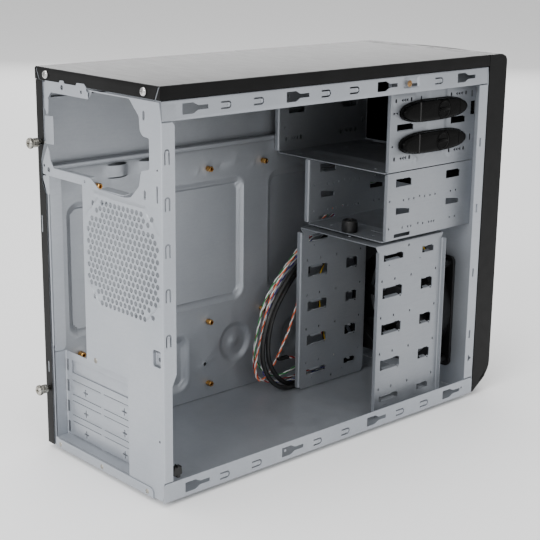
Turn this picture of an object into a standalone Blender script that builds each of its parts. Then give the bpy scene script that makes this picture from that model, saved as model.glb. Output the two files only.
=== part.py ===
"""Micro-ATX mini-tower computer case, open on its left side, with empty drive bays.

The case frame has its origin on the ground under the middle of the case: +X is the case's right
(the motherboard side), +Y its rear and +Z up. Every shape below is given in the chassis' own
millimetres, measured from the middle of the chassis floor, and one empty carries them all.
"""
import bpy
import bmesh
import math
from mathutils import Vector

MM = 0.001

# Driving dimensions of the chassis, in millimetres
WIDTH = 178.0
HEIGHT = 352.0
DEPTH = 407.0
SHEET = 0.8
GAP = 0.3
FOOT_HEIGHT = 4.0
BEZEL_DEPTH = 27.5
BEZEL_CROWN = 4.0
THUMBSCREW_REACH = 12.5

HALF_W = WIDTH / 2
REAR = DEPTH / 2
FRONT = -DEPTH / 2
BEZEL_FRONT = FRONT - BEZEL_DEPTH

# Sheet planes
REAR_SKIN = REAR - 1.0
COVER_DROP = 11.0
RAIL_LOW = 323.5
RAIL_HIGH = HEIGHT - COVER_DROP - 0.7
FLOOR_RAIL = 18.0
POST_DEPTH = 13.5
TRAY_X = 80.0
TRAY_TOP = 264.5
PANEL_X = HALF_W - 0.7
FLANGE_X = 78.0

# Rear openings
RECESS_Y = REAR_SKIN - 13.0
RECESS_LEFT = -39.0
RECESS_RIGHT = 75.0
RECESS_LOW = 9.6
RECESS_HIGH = 98.7
SLOT_PITCH = 20.32
SLOT_FIRST_Z = 17.3
IO_LOW = 99.0
RECESS_STEP = 91.8
IO_HIGH = 257.0
IO_INNER = 22.0

# Drive bays
BAY_REAR = -73.0
BAY_HALF_525 = 74.0
CAGE_525_LOW = 246.8
CAGE_35_LOW = 180.2
CAGE_35_RIGHT = 28.0
HDD_LEFT = -72.0
HDD_RIGHT = 31.0
HDD_REAR = -66.3
HDD_DEPTH = 98.0
HDD_TOP = 177.0
FLANGE = 5.0
CAGE_SCREW = (-24.5, -79.0)

# Front fan
FAN_Z = 82.0
FAN_SIZE = 120.0
FAN_THICK = 25.0
FAN_REAR = FRONT + 1.4 + FAN_THICK
FAN_BLADES = 7
DUCT_RADIUS = 57.5

# Screws of the covers
THUMBSCREW_X = 84.0
THUMBSCREW_Z = (285.7, 55.4)
COVER_SCREW_X = (71.5, -68.5)
COVER_SCREW_Z = 346.0
RAIL_SCREW = (-87.0, 332.5)

# Tool-less clips on the wide bays
CLIP_Y = -136.0
CLIP_KNOB_Y = -145.5
CLIP_KNOB_RADIUS = 9.2
CLIP_RIB_Y = -111.4
CLIP_Z = (272.6, 303.2)
CLIP_HALF_LENGTH = 47.0
CLIP_HALF_HEIGHT = 11.0
CLIP_THICK = 7.2

# Standoffs: micro-ATX hole grid
BOARD_TOP_Z = 240.2
BOARD_ROW = 157.48
BOARD_FRONT_Y = -56.4
BOARD_COLUMN = 72.39
STANDOFF_HEIGHT = 6.5

# Front controls, to the right of the small bay
BUTTON_X = 54.0
POWER_Z = 225.0
RESET_Z = 207.0
PORTS_Z = 190.0

Y_SHIFT = (-(REAR + THUMBSCREW_REACH) - (BEZEL_FRONT - BEZEL_CROWN)) / 2

FINISHES = {
    "zinc": ((0.56, 0.58, 0.585, 1.0), 0.42, 0.85),
    "black_paint": ((0.012, 0.012, 0.012, 1.0), 0.45, 0.0),
    "black_plastic": ((0.014, 0.014, 0.015, 1.0), 0.38, 0.0),
    "clip_plastic": ((0.01, 0.01, 0.01, 1.0), 0.3, 0.0),
    "brass": ((0.72, 0.45, 0.14, 1.0), 0.3, 1.0),
    "nickel": ((0.72, 0.70, 0.66, 1.0), 0.25, 1.0),
    "rubber": ((0.02, 0.02, 0.02, 1.0), 0.8, 0.0),
    "lens": ((0.25, 0.45, 0.9, 1.0), 0.15, 0.0),
    "cable_black": ((0.01, 0.01, 0.01, 1.0), 0.5, 0.0),
    "lead_orange": ((0.85, 0.2, 0.04, 1.0), 0.45, 0.0),
    "lead_green": ((0.05, 0.4, 0.1, 1.0), 0.45, 0.0),
    "lead_blue": ((0.1, 0.08, 0.45, 1.0), 0.45, 0.0),
    "lead_red": ((0.6, 0.03, 0.02, 1.0), 0.45, 0.0),
    "lead_mixed": ((0.35, 0.03, 0.02, 1.0), 0.45, 0.0),
    "white_nylon": ((0.75, 0.74, 0.7, 1.0), 0.5, 0.0),
}


# ---------------------------------------------------------------- shapes

def box(x0, x1, y0, y1, z0, z1):
    """A shape that adds one box to a bmesh."""
    def add(bm):
        made = bmesh.ops.create_cube(bm, size=1.0)["verts"]
        for vert in made:
            vert.co.x = x0 + (vert.co.x + 0.5) * (x1 - x0)
            vert.co.y = y0 + (vert.co.y + 0.5) * (y1 - y0)
            vert.co.z = z0 + (vert.co.z + 0.5) * (z1 - z0)
    return add


def prism(axis, start, end, outline):
    """A shape that extrudes a closed outline along an axis. The outline's points are given in the
    order of the two other axes: (y, z) for X, (x, z) for Y and (x, y) for Z."""
    def place(point, along):
        first, second = point
        return {"X": (along, first, second),
                "Y": (first, along, second),
                "Z": (first, second, along)}[axis]

    def add(bm):
        low = [bm.verts.new(place(point, start)) for point in outline]
        high = [bm.verts.new(place(point, end)) for point in outline]
        faces = [bm.faces.new(low), bm.faces.new(high)]
        for i in range(len(outline)):
            j = (i + 1) % len(outline)
            faces.append(bm.faces.new((low[i], low[j], high[j], high[i])))
        bmesh.ops.recalc_face_normals(bm, faces=faces)
    return add


def arc(centre, radius, start, end, steps):
    """Points on a circle from one angle to another, both in degrees."""
    angles = [math.radians(start + (end - start) * i / steps) for i in range(steps + 1)]
    return [(centre[0] + radius * math.cos(a), centre[1] + radius * math.sin(a)) for a in angles]


def disc(centre, radius, segments=16):
    return arc(centre, radius, 0, 360, segments)[:-1]


def rounded(a0, a1, b0, b1, radius, steps=3):
    """A rectangle's outline with round corners."""
    return (arc((a1 - radius, b1 - radius), radius, 0, 90, steps)
            + arc((a0 + radius, b1 - radius), radius, 90, 180, steps)
            + arc((a0 + radius, b0 + radius), radius, 180, 270, steps)
            + arc((a1 - radius, b0 + radius), radius, 270, 360, steps))


def turned(axis, centre, profile, segments=20):
    """A shape that spins (radius, along) pairs about an axis, capped at both ends."""
    def place(radius, angle, along):
        u = centre[0] + radius * math.cos(angle)
        v = centre[1] + radius * math.sin(angle)
        return {"X": (along, u, v), "Y": (u, along, v), "Z": (u, v, along)}[axis]

    def add(bm):
        angles = [2 * math.pi * i / segments for i in range(segments)]
        rings = [[bm.verts.new(place(r, a, along)) for a in angles] for r, along in profile]
        faces = [bm.faces.new(rings[0]), bm.faces.new(rings[-1])]
        for lower, upper in zip(rings, rings[1:]):
            for i in range(segments):
                j = (i + 1) % segments
                faces.append(bm.faces.new((lower[i], lower[j], upper[j], upper[i])))
        bmesh.ops.recalc_face_normals(bm, faces=faces)
    return add


# ---------------------------------------------------------------- objects

def material(name, finish):
    colour, roughness, metallic = FINISHES[finish]
    made = bpy.data.materials.new(name)
    made.use_nodes = True
    shader = made.node_tree.nodes["Principled BSDF"]
    shader.inputs["Base Color"].default_value = colour
    shader.inputs["Roughness"].default_value = roughness
    shader.inputs["Metallic"].default_value = metallic
    made.diffuse_color = colour
    return made


def mesh_object(name, shapes, pivot=(0.0, 0.0, 0.0)):
    """An object made of the shapes, with its origin at the pivot."""
    bm = bmesh.new()
    for shape in shapes:
        shape(bm)
    centre = Vector(pivot)
    for vert in bm.verts:
        vert.co = (vert.co - centre) * MM
    mesh = bpy.data.meshes.new(name)
    bm.to_mesh(mesh)
    bm.free()
    made = bpy.data.objects.new(name, mesh)
    made.location = centre * MM
    made.parent = bpy.data.objects["case_frame"]
    bpy.context.scene.collection.objects.link(made)
    return made


def helper(name, shapes, pivot):
    made = mesh_object(name, shapes, pivot)
    made.hide_render = True
    made.display_type = "WIRE"
    return made


def boolean(target, operation, tool):
    modifier = target.modifiers.new(operation.title(), "BOOLEAN")
    modifier.operation = operation
    modifier.object = tool
    modifier.solver = "EXACT"
    modifier.use_self = True


def part(name, finish, bodies, cuts=(), pivot=(0.0, 0.0, 0.0), smooth=False):
    """One sub-part: its first body, joined with the others, less the cuts."""
    made = mesh_object(name, bodies[:1], pivot)
    made.data.materials.append(material(name + "_" + finish, finish))
    if len(bodies) > 1:
        boolean(made, "UNION", helper(name + "_join", bodies[1:], pivot))
    if cuts:
        boolean(made, "DIFFERENCE", helper(name + "_cut", cuts, pivot))
    if smooth:
        made.data.shade_smooth()
        made.data.set_sharp_from_angle(angle=math.radians(35))
    return made


def smooth_route(points, per_span):
    """A Catmull-Rom curve through the points."""
    route = [Vector(p) for p in points]
    route = [2 * route[0] - route[1]] + route + [2 * route[-1] - route[-2]]
    out = []
    for p0, p1, p2, p3 in zip(route, route[1:], route[2:], route[3:]):
        for i in range(per_span):
            t = i / per_span
            out.append(0.5 * ((2 * p1) + (p2 - p0) * t + (2 * p0 - 5 * p1 + 4 * p2 - p3) * t ** 2
                              + (3 * p1 - p0 - 3 * p2 + p3) * t ** 3))
    return out + [route[-2]]


def cord(name, finish, points, diameter, per_span=2):
    """A cable's tube along a smooth curve through the route's points."""
    curve = bpy.data.curves.new(name, "CURVE")
    curve.dimensions = "3D"
    curve.bevel_depth = diameter / 2 * MM
    curve.bevel_resolution = 2
    curve.use_fill_caps = True
    route = smooth_route(points, per_span)
    spline = curve.splines.new("POLY")
    spline.points.add(len(route) - 1)
    for target, point in zip(spline.points, route):
        target.co = (*(point * MM), 1.0)
    made = bpy.data.objects.new(name, curve)
    made.parent = bpy.data.objects["case_frame"]
    curve.materials.append(material(name + "_" + finish, finish))
    bpy.context.scene.collection.objects.link(made)
    return made


# ---------------------------------------------------------------- chassis

def keyhole(y, z, scale=1.0):
    """A cover hook's hole: a wide mouth towards the rear that tapers to a narrow slot."""
    half, neck = 5.0 * scale, 2.0 * scale
    return [(y, z - half), (y, z + half), (y - 10, z + half), (y - 15, z + neck),
            (y - 26.5, z + neck), (y - 26.5, z - neck), (y - 15, z - neck), (y - 10, z - half)]


KEYHOLES_Y = (181.0, 68.5, -43.0, -154.0)


def floor_pan():
    """The floor, its side rails, and the lip that closes the chassis at the rear."""
    rail_x = -HALF_W + SHEET
    part("floor_pan", "zinc",
         [box(-HALF_W, 88, FRONT + 0.6, REAR_SKIN - 1.3, 0, SHEET),
          box(-HALF_W, rail_x, FRONT + 0.6, REAR, 0, FLOOR_RAIL),
          box(88 - SHEET, 88, FRONT + 0.6, REAR_SKIN - 1.3, 0, 12),
          box(-73.8, 75, REAR_SKIN - 2.0, REAR, 0, SHEET),
          box(-73.8, 75, REAR - 0.7, REAR, 0, 9)],
         [prism("X", -HALF_W - 2, rail_x + 1, keyhole(y, 8.5)) for y in KEYHOLES_Y])


def rear_panel():
    """The rear wall: power supply and socket openings, the gusset beside them, and the left post."""
    skin = REAR_SKIN - SHEET
    flange = -HALF_W + SHEET
    psu_opening = [(71, 324), (64, 332), (8.4, 332), (5, 345), (-46, 345), (-60.5, 325), (-61.2, 314),
                   (-65, 310), (-73.3, 309.6), (-73.3, 284.3), (-62, 281.5), (-59.2, 268.6),
                   (-47.5, 257.5), (-38.6, 256), (-2.7, 257), (8.6, 264.6), (65, 264.6), (71, 271)]
    part("rear_panel", "zinc",
         [box(-HALF_W + 1.1, 77.2, skin, REAR_SKIN, 1.1, RAIL_HIGH - 1.1),
          box(-HALF_W, flange, REAR_SKIN - POST_DEPTH, REAR_SKIN, 112, RAIL_LOW - GAP),
          box(-HALF_W, flange, REAR_SKIN - POST_DEPTH + 4.5, REAR_SKIN, FLOOR_RAIL + 0.4, 113),
          box(-HALF_W, -HALF_W + 3, skin, REAR_SKIN, FLOOR_RAIL + 0.4, RAIL_LOW - GAP),
          box(RECESS_RIGHT, RECESS_RIGHT + SHEET, RECESS_Y, REAR_SKIN, RECESS_STEP + 0.5, IO_HIGH + 2),
          box(70, 84, skin, REAR_SKIN, 257, 283)],
         [prism("Y", skin - 2, REAR_SKIN + 2, psu_opening),
          box(IO_INNER, RECESS_RIGHT, skin - 2, REAR_SKIN + 2, IO_LOW - 1, IO_HIGH),
          box(RECESS_LEFT, RECESS_RIGHT + SHEET + GAP, skin - 2, REAR_SKIN + 2,
              RECESS_LOW - 0.5, IO_LOW - 0.5)])


def slot_z(index):
    return SLOT_FIRST_Z + SLOT_PITCH * index


def slot_frame():
    """The recessed plate behind the expansion slots, a shallow tray that opens to the rear."""
    rim = REAR_SKIN - SHEET - GAP
    back = RECESS_Y - SHEET
    tongues = [box(72.4, 75, back - 1, RECESS_Y + 1, slot_z(i) - 5.7, slot_z(i) + 5.7) for i in range(4)]
    part("slot_frame", "zinc",
         [box(RECESS_LEFT - SHEET, RECESS_RIGHT + SHEET, back, RECESS_Y, RECESS_LOW - SHEET, RECESS_HIGH),
          box(RECESS_LEFT - SHEET, RECESS_RIGHT + SHEET, back, rim, RECESS_LOW - SHEET, RECESS_LOW),
          box(RECESS_RIGHT, RECESS_RIGHT + SHEET, back, rim, RECESS_LOW - SHEET, RECESS_HIGH),
          box(RECESS_LEFT - SHEET, RECESS_LEFT, back, rim, RECESS_LOW - SHEET, RECESS_HIGH)],
         tongues + [box(-33, 66, back - 1, RECESS_Y + 1, slot_z(3) - 6.3, slot_z(3) + 6.3),
                    box(IO_INNER, RECESS_RIGHT + 2, back - 1, REAR, RECESS_STEP, RECESS_HIGH + 1)])


def slot_cover():
    """The stamped cover that closes the top slot from inside, with its raised middle."""
    inside = RECESS_Y - SHEET - GAP
    part("slot_cover", "zinc",
         [box(-38, 71, inside - SHEET, inside, slot_z(3) - 8.6, slot_z(3) + 8.6),
          box(-31.5, 64.5, inside - SHEET, inside + 0.6, slot_z(3) - 5.6, slot_z(3) + 5.6)])


TRAY_RECESSES = (
    # y low, y high, z low, z high, corner radius
    (-32.0, 182.0, 99.0, 228.0, 9.0),
    (-178.0, -64.5, 99.0, 228.0, 9.0),
    (41.0, 182.0, 15.0, 74.0, 9.0),
)
RECESS_DEPTH = 4.6


def tray_standoffs():
    """(name, y, z) of every standoff that is fitted."""
    middle = BOARD_FRONT_Y + BOARD_COLUMN
    low = BOARD_TOP_Z - BOARD_ROW
    return (("standoff_top_rear", middle + 132.08, BOARD_TOP_Z),
            ("standoff_top_middle", middle, BOARD_TOP_Z),
            ("standoff_top_front", BOARD_FRONT_Y, BOARD_TOP_Z),
            ("standoff_low_rear", middle + 154.94, low),
            ("standoff_low_middle", middle, low), ("standoff_low_front", BOARD_FRONT_Y, low),
            ("standoff_base_middle", middle, 16.5))


def motherboard_tray():
    """The sheet that carries the motherboard, stiffened by pressed recesses and a folded top edge."""
    bodies = [box(TRAY_X, TRAY_X + SHEET, FRONT + 8, REAR_SKIN - 1.3, 1.1, TRAY_TOP),
              box(TRAY_X, 86.8, FRONT + 8, REAR_SKIN - 1.3, TRAY_TOP - SHEET, TRAY_TOP)]
    cuts = []
    for y0, y1, z0, z1, radius in TRAY_RECESSES:
        bodies.append(prism("X", TRAY_X, TRAY_X + RECESS_DEPTH, rounded(y0, y1, z0, z1, radius)))
        inner = rounded(y0 + SHEET, y1 - SHEET, z0 + SHEET, z1 - SHEET, radius - SHEET)
        cuts.append(prism("X", TRAY_X - 1, TRAY_X + RECESS_DEPTH - SHEET, inner))
    dimple = (-21.0, 53.0)
    bodies.append(prism("X", TRAY_X, TRAY_X + 4, disc(dimple, 22, 20)))
    cuts.append(prism("X", TRAY_X - 1, TRAY_X + 4 - SHEET, disc(dimple, 22 - SHEET, 20)))
    part("motherboard_tray", "zinc", bodies, cuts)


def standoffs():
    """Hexagonal brass standoffs, each with its threaded socket."""
    for name, y, z in tray_standoffs():
        hexagon = disc((y, z), 3.0, 6)
        part(name, "brass", [prism("X", TRAY_X - GAP, TRAY_X - GAP - STANDOFF_HEIGHT, hexagon)],
             [prism("X", TRAY_X - 4, TRAY_X - 9, disc((y, z), 1.5, 8))])


def top_rails():
    """The two rails under the cover, with the hook holes of the side covers."""
    for side, name in ((-1, "rail_top_left"), (1, "rail_top_right")):
        outer = side * 88.0
        face = sorted((outer, outer - side * SHEET))
        web = sorted((outer, side * 77))
        part(name, "zinc",
             [box(*face, FRONT + 1.4, REAR_SKIN - 1.3, RAIL_LOW, RAIL_HIGH),
              box(*web, FRONT + 1.4, REAR_SKIN - 1.3, RAIL_HIGH - SHEET, RAIL_HIGH),
              box(*sorted((outer, side * 83)), FRONT + 1.4, REAR_SKIN - 1.3, RAIL_LOW, RAIL_LOW + SHEET)],
             [prism("X", face[0] - 1, face[1] + 1, keyhole(y, 331.5)) for y in KEYHOLES_Y])


def front_panel():
    """The steel front: drive openings, the fan's opening with its cross, and the leads' window."""
    face, back = FRONT + 0.3, FRONT + 0.3 + SHEET
    quarter = []
    for start in (0, 90, 180, 270):
        along = math.radians(start + 45)
        centre = (6 * math.cos(along), FAN_Z + 6 * math.sin(along))
        quarter.append(prism("Y", face - 2, back + 2, [centre] + arc(centre, 50, start, start + 90, 8)))
    part("front_panel", "zinc",
         [box(-87.8, 86.9, face, back, 1.1, RAIL_HIGH),
          box(86.5, 88, face, back, 12.4, RAIL_LOW - GAP),
          box(-HALF_W, -87.6, face, back, FLOOR_RAIL + 0.4, RAIL_LOW - GAP),
          box(-HALF_W, -HALF_W + SHEET, face, face + POST_DEPTH, FLOOR_RAIL + 0.4, RAIL_LOW - GAP),
          box(88 - SHEET, 88, face, face + 12, 12.4, RAIL_LOW - GAP)],
         quarter
         + [box(-73.5, 73.5, face - 2, back + 2, 249, 337),
            box(-73.5, 27.5, face - 2, back + 2, 208, 240),
            box(36, 74, face - 2, back + 2, 150, 236)])


# ---------------------------------------------------------------- covers

def top_cover():
    """The cover's roof with its short folded sides and rear."""
    low = HEIGHT - COVER_DROP
    skin = 0.6
    front = FRONT + 0.3
    part("top_cover", "black_paint",
         [box(-HALF_W, HALF_W, front, REAR, HEIGHT - skin, HEIGHT),
          box(-HALF_W, -HALF_W + skin, front, REAR, low, HEIGHT),
          box(HALF_W - skin, HALF_W, front, REAR, low, HEIGHT),
          box(-HALF_W, HALF_W, REAR - skin, REAR, low, HEIGHT)])


def side_panel():
    """The right cover, with the rear flange that its thumbscrews go through."""
    top = HEIGHT - COVER_DROP - 0.4
    front = FRONT + 0.6
    part("side_panel", "black_paint",
         [box(PANEL_X, HALF_W, front, REAR, 0.6, top),
          box(FLANGE_X, HALF_W, REAR - 0.6, REAR, 0.6, top)],
         [prism("Y", REAR - 2, REAR + 2, [(70, 250), (84.4, 258), (84.4, 271), (80, 284), (70, 292)])]
         + [prism("Y", REAR - 2, REAR + 2, disc((THUMBSCREW_X, z), 2.6, 12)) for z in THUMBSCREW_Z])


def side_thumbscrews():
    """Captive thumbscrews: a shank through the flange, a knurled barrel and a wider head."""
    for name, z in zip(("thumbscrew_upper", "thumbscrew_lower"), THUMBSCREW_Z):
        profile = ((2.1, REAR - 6), (2.1, REAR + 2.6), (4.1, REAR + 2.9), (4.1, REAR + 8.6),
                   (4.9, REAR + 9.0), (4.9, REAR + 11.3), (4.2, REAR + THUMBSCREW_REACH))
        screw = turned("Y", (THUMBSCREW_X, z), profile, 20)
        part(name, "nickel", [screw], pivot=(THUMBSCREW_X, REAR, z), smooth=True)


def cover_screws():
    """Pan-head screws of the top cover: two in its rear flange, and one in the left rail."""
    for name, x in zip(("cover_screw_right", "cover_screw_left"), COVER_SCREW_X):
        profile = ((3.6, REAR + GAP), (3.6, REAR + 1.1), (2.6, REAR + 2.1))
        head = turned("Y", (x, COVER_SCREW_Z), profile, 16)
        part(name, "nickel", [head], pivot=(x, REAR, COVER_SCREW_Z), smooth=True)
    profile = ((2.2, -88.3), (3.6, -88.5), (3.3, -88.9))
    part("rail_screw", "nickel", [turned("X", RAIL_SCREW, profile, 16)], pivot=(-88.2, *RAIL_SCREW))


# ---------------------------------------------------------------- drive cages

def cut_row(xs, ys, zs):
    """Cutters for a grid of windows in a wall."""
    return [box(*xs, *y, *z) for y in ys for z in zs]


def drive_cage_525():
    """The cage for two wide drives, hung between the top rails."""
    wall, rear = BAY_HALF_525, BAY_REAR
    front, low, top = FRONT + 1.6, CAGE_525_LOW, 338.0
    bodies = [box(-wall - SHEET, wall + SHEET, front, rear, low, low + SHEET)]
    for side in (-1, 1):
        bodies.append(box(*sorted((side * wall, side * (wall + SHEET))), front, rear, low, top))
        bodies.append(box(*sorted((side * wall, side * (wall + FLANGE))), rear - SHEET, rear, low, top))
    holes = [((-109.5, -87.3), (286.3, 292.0)), ((-187.0, -165.0), (286.0, 292.0))]
    cuts = [box(-wall - 3, -wall + 3, *y, *z) for y, z in holes]
    cuts += [box(wall - 3, wall + 3, *y, *z) for y, z in holes]
    cuts.append(box(-70, 70, front - 1, front + 6, low - 1, low + 2))
    part("drive_cage_525", "zinc", bodies, cuts)


def drive_cage_35():
    """The narrower cage under the wide bays. Its floor's notch lets the cage screw leave to the rear."""
    left, right, rear = -BAY_HALF_525, CAGE_35_RIGHT, BAY_REAR + 0.5
    front, low, top = FRONT + 1.6, CAGE_35_LOW, CAGE_525_LOW - 0.6
    bodies = [box(left - SHEET, right + SHEET, front, rear, low, low + SHEET),
              box(left - SHEET, left, front, rear, low, top),
              box(right, right + SHEET, front, rear, low, top),
              box(left - FLANGE, left, rear - SHEET, rear, low + 2, top),
              box(right, right + FLANGE, rear - SHEET, rear, low + 2, top)]
    ys = ((-110.5, -88.8), (-183.0, -162.0))
    zs = ((205.8, 210.4), (232.0, 240.0))
    cuts = cut_row((left - 2, left + 2), ys, zs) + cut_row((right - 2, right + 2), ys, zs)
    x, y = CAGE_SCREW
    cuts.append(box(x - 2.8, x + 2.8, y - 2.8, rear + 1, low - 1, low + 2))
    part("drive_cage_35", "zinc", bodies, cuts)


def hdd_cage():
    """The hard-disk cage: two slotted walls under one top plate. It slides out to the rear."""
    rear, front = HDD_REAR, HDD_REAR - HDD_DEPTH
    bodies = [box(HDD_LEFT - SHEET, HDD_RIGHT + SHEET, front, rear, HDD_TOP - SHEET, HDD_TOP)]
    for inner, side in ((HDD_LEFT, -1), (HDD_RIGHT, 1)):
        bodies.append(box(*sorted((inner, inner + side * SHEET)), front, rear, 1.6, HDD_TOP))
        for y in (rear - SHEET, front):
            bodies.append(box(*sorted((inner, inner + side * FLANGE)), y, y + SHEET, 4, 171.5))
    windows = ((-107.0, -78.5), (-152.0, -135.0))
    rows = [(z - 5.3, z + 5.3) for z in (54.2, 91.2, 128.4)] + [(159.8, 166.5), (16.0, 22.0)]
    cuts = cut_row((HDD_LEFT - 2, HDD_LEFT + 2), windows, rows)
    cuts += cut_row((HDD_RIGHT - 2, HDD_RIGHT + 2), windows, rows)
    part("hdd_cage", "zinc", bodies, cuts, pivot=(0, rear, HDD_TOP))


def cage_thumbscrew():
    low = CAGE_35_LOW + SHEET + GAP
    profile = ((2.2, HDD_TOP + 0.6), (2.2, low), (7.6, low + 0.02), (7.9, low + 0.8), (7.9, low + 11.2),
               (7.0, low + 12.2))
    part("cage_thumbscrew", "clip_plastic", [turned("Z", CAGE_SCREW, profile, 24)],
         pivot=(*CAGE_SCREW, low), smooth=True)


def clip_outline(z, steps=28):
    """An oval with fuller flanks than an ellipse."""
    points = []
    for i in range(steps):
        angle = 2 * math.pi * i / steps
        c, s = math.cos(angle), math.sin(angle)
        points.append((CLIP_Y + CLIP_HALF_LENGTH * math.copysign(abs(c) ** 0.66, c),
                       z + CLIP_HALF_HEIGHT * math.copysign(abs(s) ** 0.88, s)))
    return points


def tool_less_clips():
    """Two oval clips that hold drives without screws, each with a quarter-turn knob."""
    base = -BAY_HALF_525 - SHEET - GAP
    face = base - CLIP_THICK
    for name, z in zip(("lower", "upper"), CLIP_Z):
        seat = prism("X", face - 1, face + 1.6, disc((CLIP_KNOB_Y, z), CLIP_KNOB_RADIUS + GAP, 24))
        rib = box(face - 0.2, face + 1.0, CLIP_RIB_Y - 0.8, CLIP_RIB_Y + 0.8, z - 9.2, z + 9.2)
        part("drive_clip_" + name, "clip_plastic", [prism("X", face, base, clip_outline(z)), rib], [seat])
        grip = box(face - 1.4, face + 0.6, CLIP_KNOB_Y - 7.2, CLIP_KNOB_Y + 7.2, z - 1.8, z + 1.8)
        profile = ((CLIP_KNOB_RADIUS, face + 1.3), (CLIP_KNOB_RADIUS, face + 0.2),
                   (CLIP_KNOB_RADIUS - 0.8, face - 0.3))
        knob = turned("X", (CLIP_KNOB_Y, z), profile, 24)
        part("clip_knob_" + name, "clip_plastic", [knob, grip], pivot=(face, CLIP_KNOB_Y, z), smooth=True)


# ---------------------------------------------------------------- front fan

def front_fan():
    """The fan's square frame with its round duct, and the struts that carry the motor's seat."""
    half = FAN_SIZE / 2
    front = FAN_REAR - FAN_THICK
    frame = part("fan_frame", "black_plastic",
                 [prism("Y", front, FAN_REAR, rounded(-half, half, FAN_Z - half, FAN_Z + half, 6, 3))],
                 [prism("Y", front - 1, FAN_REAR + 1, disc((0, FAN_Z), DUCT_RADIUS, 40))])
    reach = DUCT_RADIUS + 1.5
    seat = prism("Y", front, front + 4, disc((0, FAN_Z), 21, 20))
    across = box(-reach, reach, front, front + 3, FAN_Z - 2, FAN_Z + 2)
    upright = box(-2, 2, front, front + 3, FAN_Z - reach, FAN_Z + reach)
    boolean(frame, "UNION", helper("fan_frame_struts", [seat, across, upright], (0, 0, 0)))


def blade(index):
    """One twisted blade, from inside the hub to the tip."""
    turn = 2 * math.pi * index / FAN_BLADES
    middle = FAN_REAR - 10.0

    def add(bm):
        rings = []
        for step in range(5):
            radius = 18.0 + (55.0 - 18.0) * step / 4
            pitch = math.radians(52 - 22 * step / 4)
            sweep = turn + 0.16 * step / 4
            chord = 15.0 + 7.0 * step / 4
            ring = []
            for along, side in ((-0.5, -0.5), (0.5, -0.5), (0.5, 0.5), (-0.5, 0.5)):
                around = chord * along * math.cos(pitch) - 1.6 * side * math.sin(pitch)
                depth = chord * along * math.sin(pitch) + 1.6 * side * math.cos(pitch)
                angle = sweep + around / radius
                ring.append(bm.verts.new((radius * math.cos(angle), middle + depth * 0.82,
                                          FAN_Z + radius * math.sin(angle))))
            rings.append(ring)
        faces = [bm.faces.new(rings[0]), bm.faces.new(rings[-1])]
        for lower, upper in zip(rings, rings[1:]):
            for i in range(4):
                j = (i + 1) % 4
                faces.append(bm.faces.new((lower[i], lower[j], upper[j], upper[i])))
        bmesh.ops.recalc_face_normals(bm, faces=faces)
    return add


def fan_rotor():
    """The fan's hub with its blades, which turns about the duct's centre."""
    front = FAN_REAR - FAN_THICK
    hub = turned("Y", (0, FAN_Z), ((20.5, front + 4.6), (20.5, FAN_REAR - 3), (19.3, FAN_REAR - 1.8)), 28)
    part("fan_rotor", "black_plastic", [hub] + [blade(i) for i in range(FAN_BLADES)],
         pivot=(0, FAN_REAR - 10, FAN_Z), smooth=True)


# ---------------------------------------------------------------- front bezel

def crown(x):
    """How far the front face stands forward of its edges at this x."""
    return BEZEL_CROWN * (1 - (x / HALF_W) ** 2)


def bezel_profile(inset):
    """(y, z) outline of the bezel's side, without the crown, drawn in by the wall's thickness."""
    front = BEZEL_FRONT + inset
    top = HEIGHT - inset
    nose = arc((front + 11, top - 11), 11, 180, 90, 4)
    return nose + [(FRONT - 0.3 + inset, top), (FRONT - 0.3 + inset, inset),
                   (FRONT - 21 + inset * 0.6, 14 + inset * 0.8), (front, 24 + inset * 0.6)]


def crowned(x0, x1, outline, steps=10):
    """A shape that runs an outline in (y, z) from x0 to x1 and bulges its forward points."""
    def add(bm):
        rings = []
        for i in range(steps + 1):
            x = x0 + (x1 - x0) * i / steps
            ring = []
            for y, z in outline:
                share = min(1.0, max(0.0, (FRONT - 8 - y) / 12))
                ring.append(bm.verts.new((x, y - crown(x) * share, z)))
            rings.append(ring)
        faces = [bm.faces.new(rings[0]), bm.faces.new(rings[-1])]
        count = len(outline)
        for lower, upper in zip(rings, rings[1:]):
            for j in range(count):
                k = (j + 1) % count
                faces.append(bm.faces.new((lower[j], lower[k], upper[k], upper[j])))
        bmesh.ops.recalc_face_normals(bm, faces=faces)
    return add


COVERS = (
    # name, x low, x high, z low, z high
    ("bay_cover_upper", -73.6, 73.6, 291.6, 332.4),
    ("bay_cover_lower", -73.6, 73.6, 249.8, 290.6),
    ("bay_cover_small", -73.6, 28.2, 211.0, 236.6),
    ("front_grille", -62.0, 62.0, 30.0, 140.0),
)


def bezel():
    """The hollow plastic front, open to the rear, with its cut-outs."""
    inner = bezel_profile(2.6)
    inner = [(y + 3 if y > FRONT - 6 else y, z) for y, z in inner]
    cuts = [crowned(-HALF_W + 2.6, HALF_W - 2.6, inner)]
    front, back = BEZEL_FRONT - 12, FRONT - 14
    for _, x0, x1, z0, z1 in COVERS:
        cuts.append(box(x0 - 0.4, x1 + 0.4, front, back, z0 - 0.4, z1 + 0.4))
    cuts.append(prism("Y", front, back, disc((BUTTON_X, POWER_Z), 9.4, 24)))
    cuts.append(prism("Y", front, back, disc((BUTTON_X - 9, RESET_Z), 3.3, 16)))
    lens = rounded(BUTTON_X + 3.7, BUTTON_X + 14.3, RESET_Z - 1.9, RESET_Z + 1.9, 1.8)
    cuts.append(prism("Y", front, back, lens))
    cuts.append(box(34.5, 73.5, front, back, PORTS_Z - 6, PORTS_Z + 6))
    part("front_bezel", "black_plastic", [crowned(-HALF_W, HALF_W, bezel_profile(0.0))], cuts)


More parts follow.
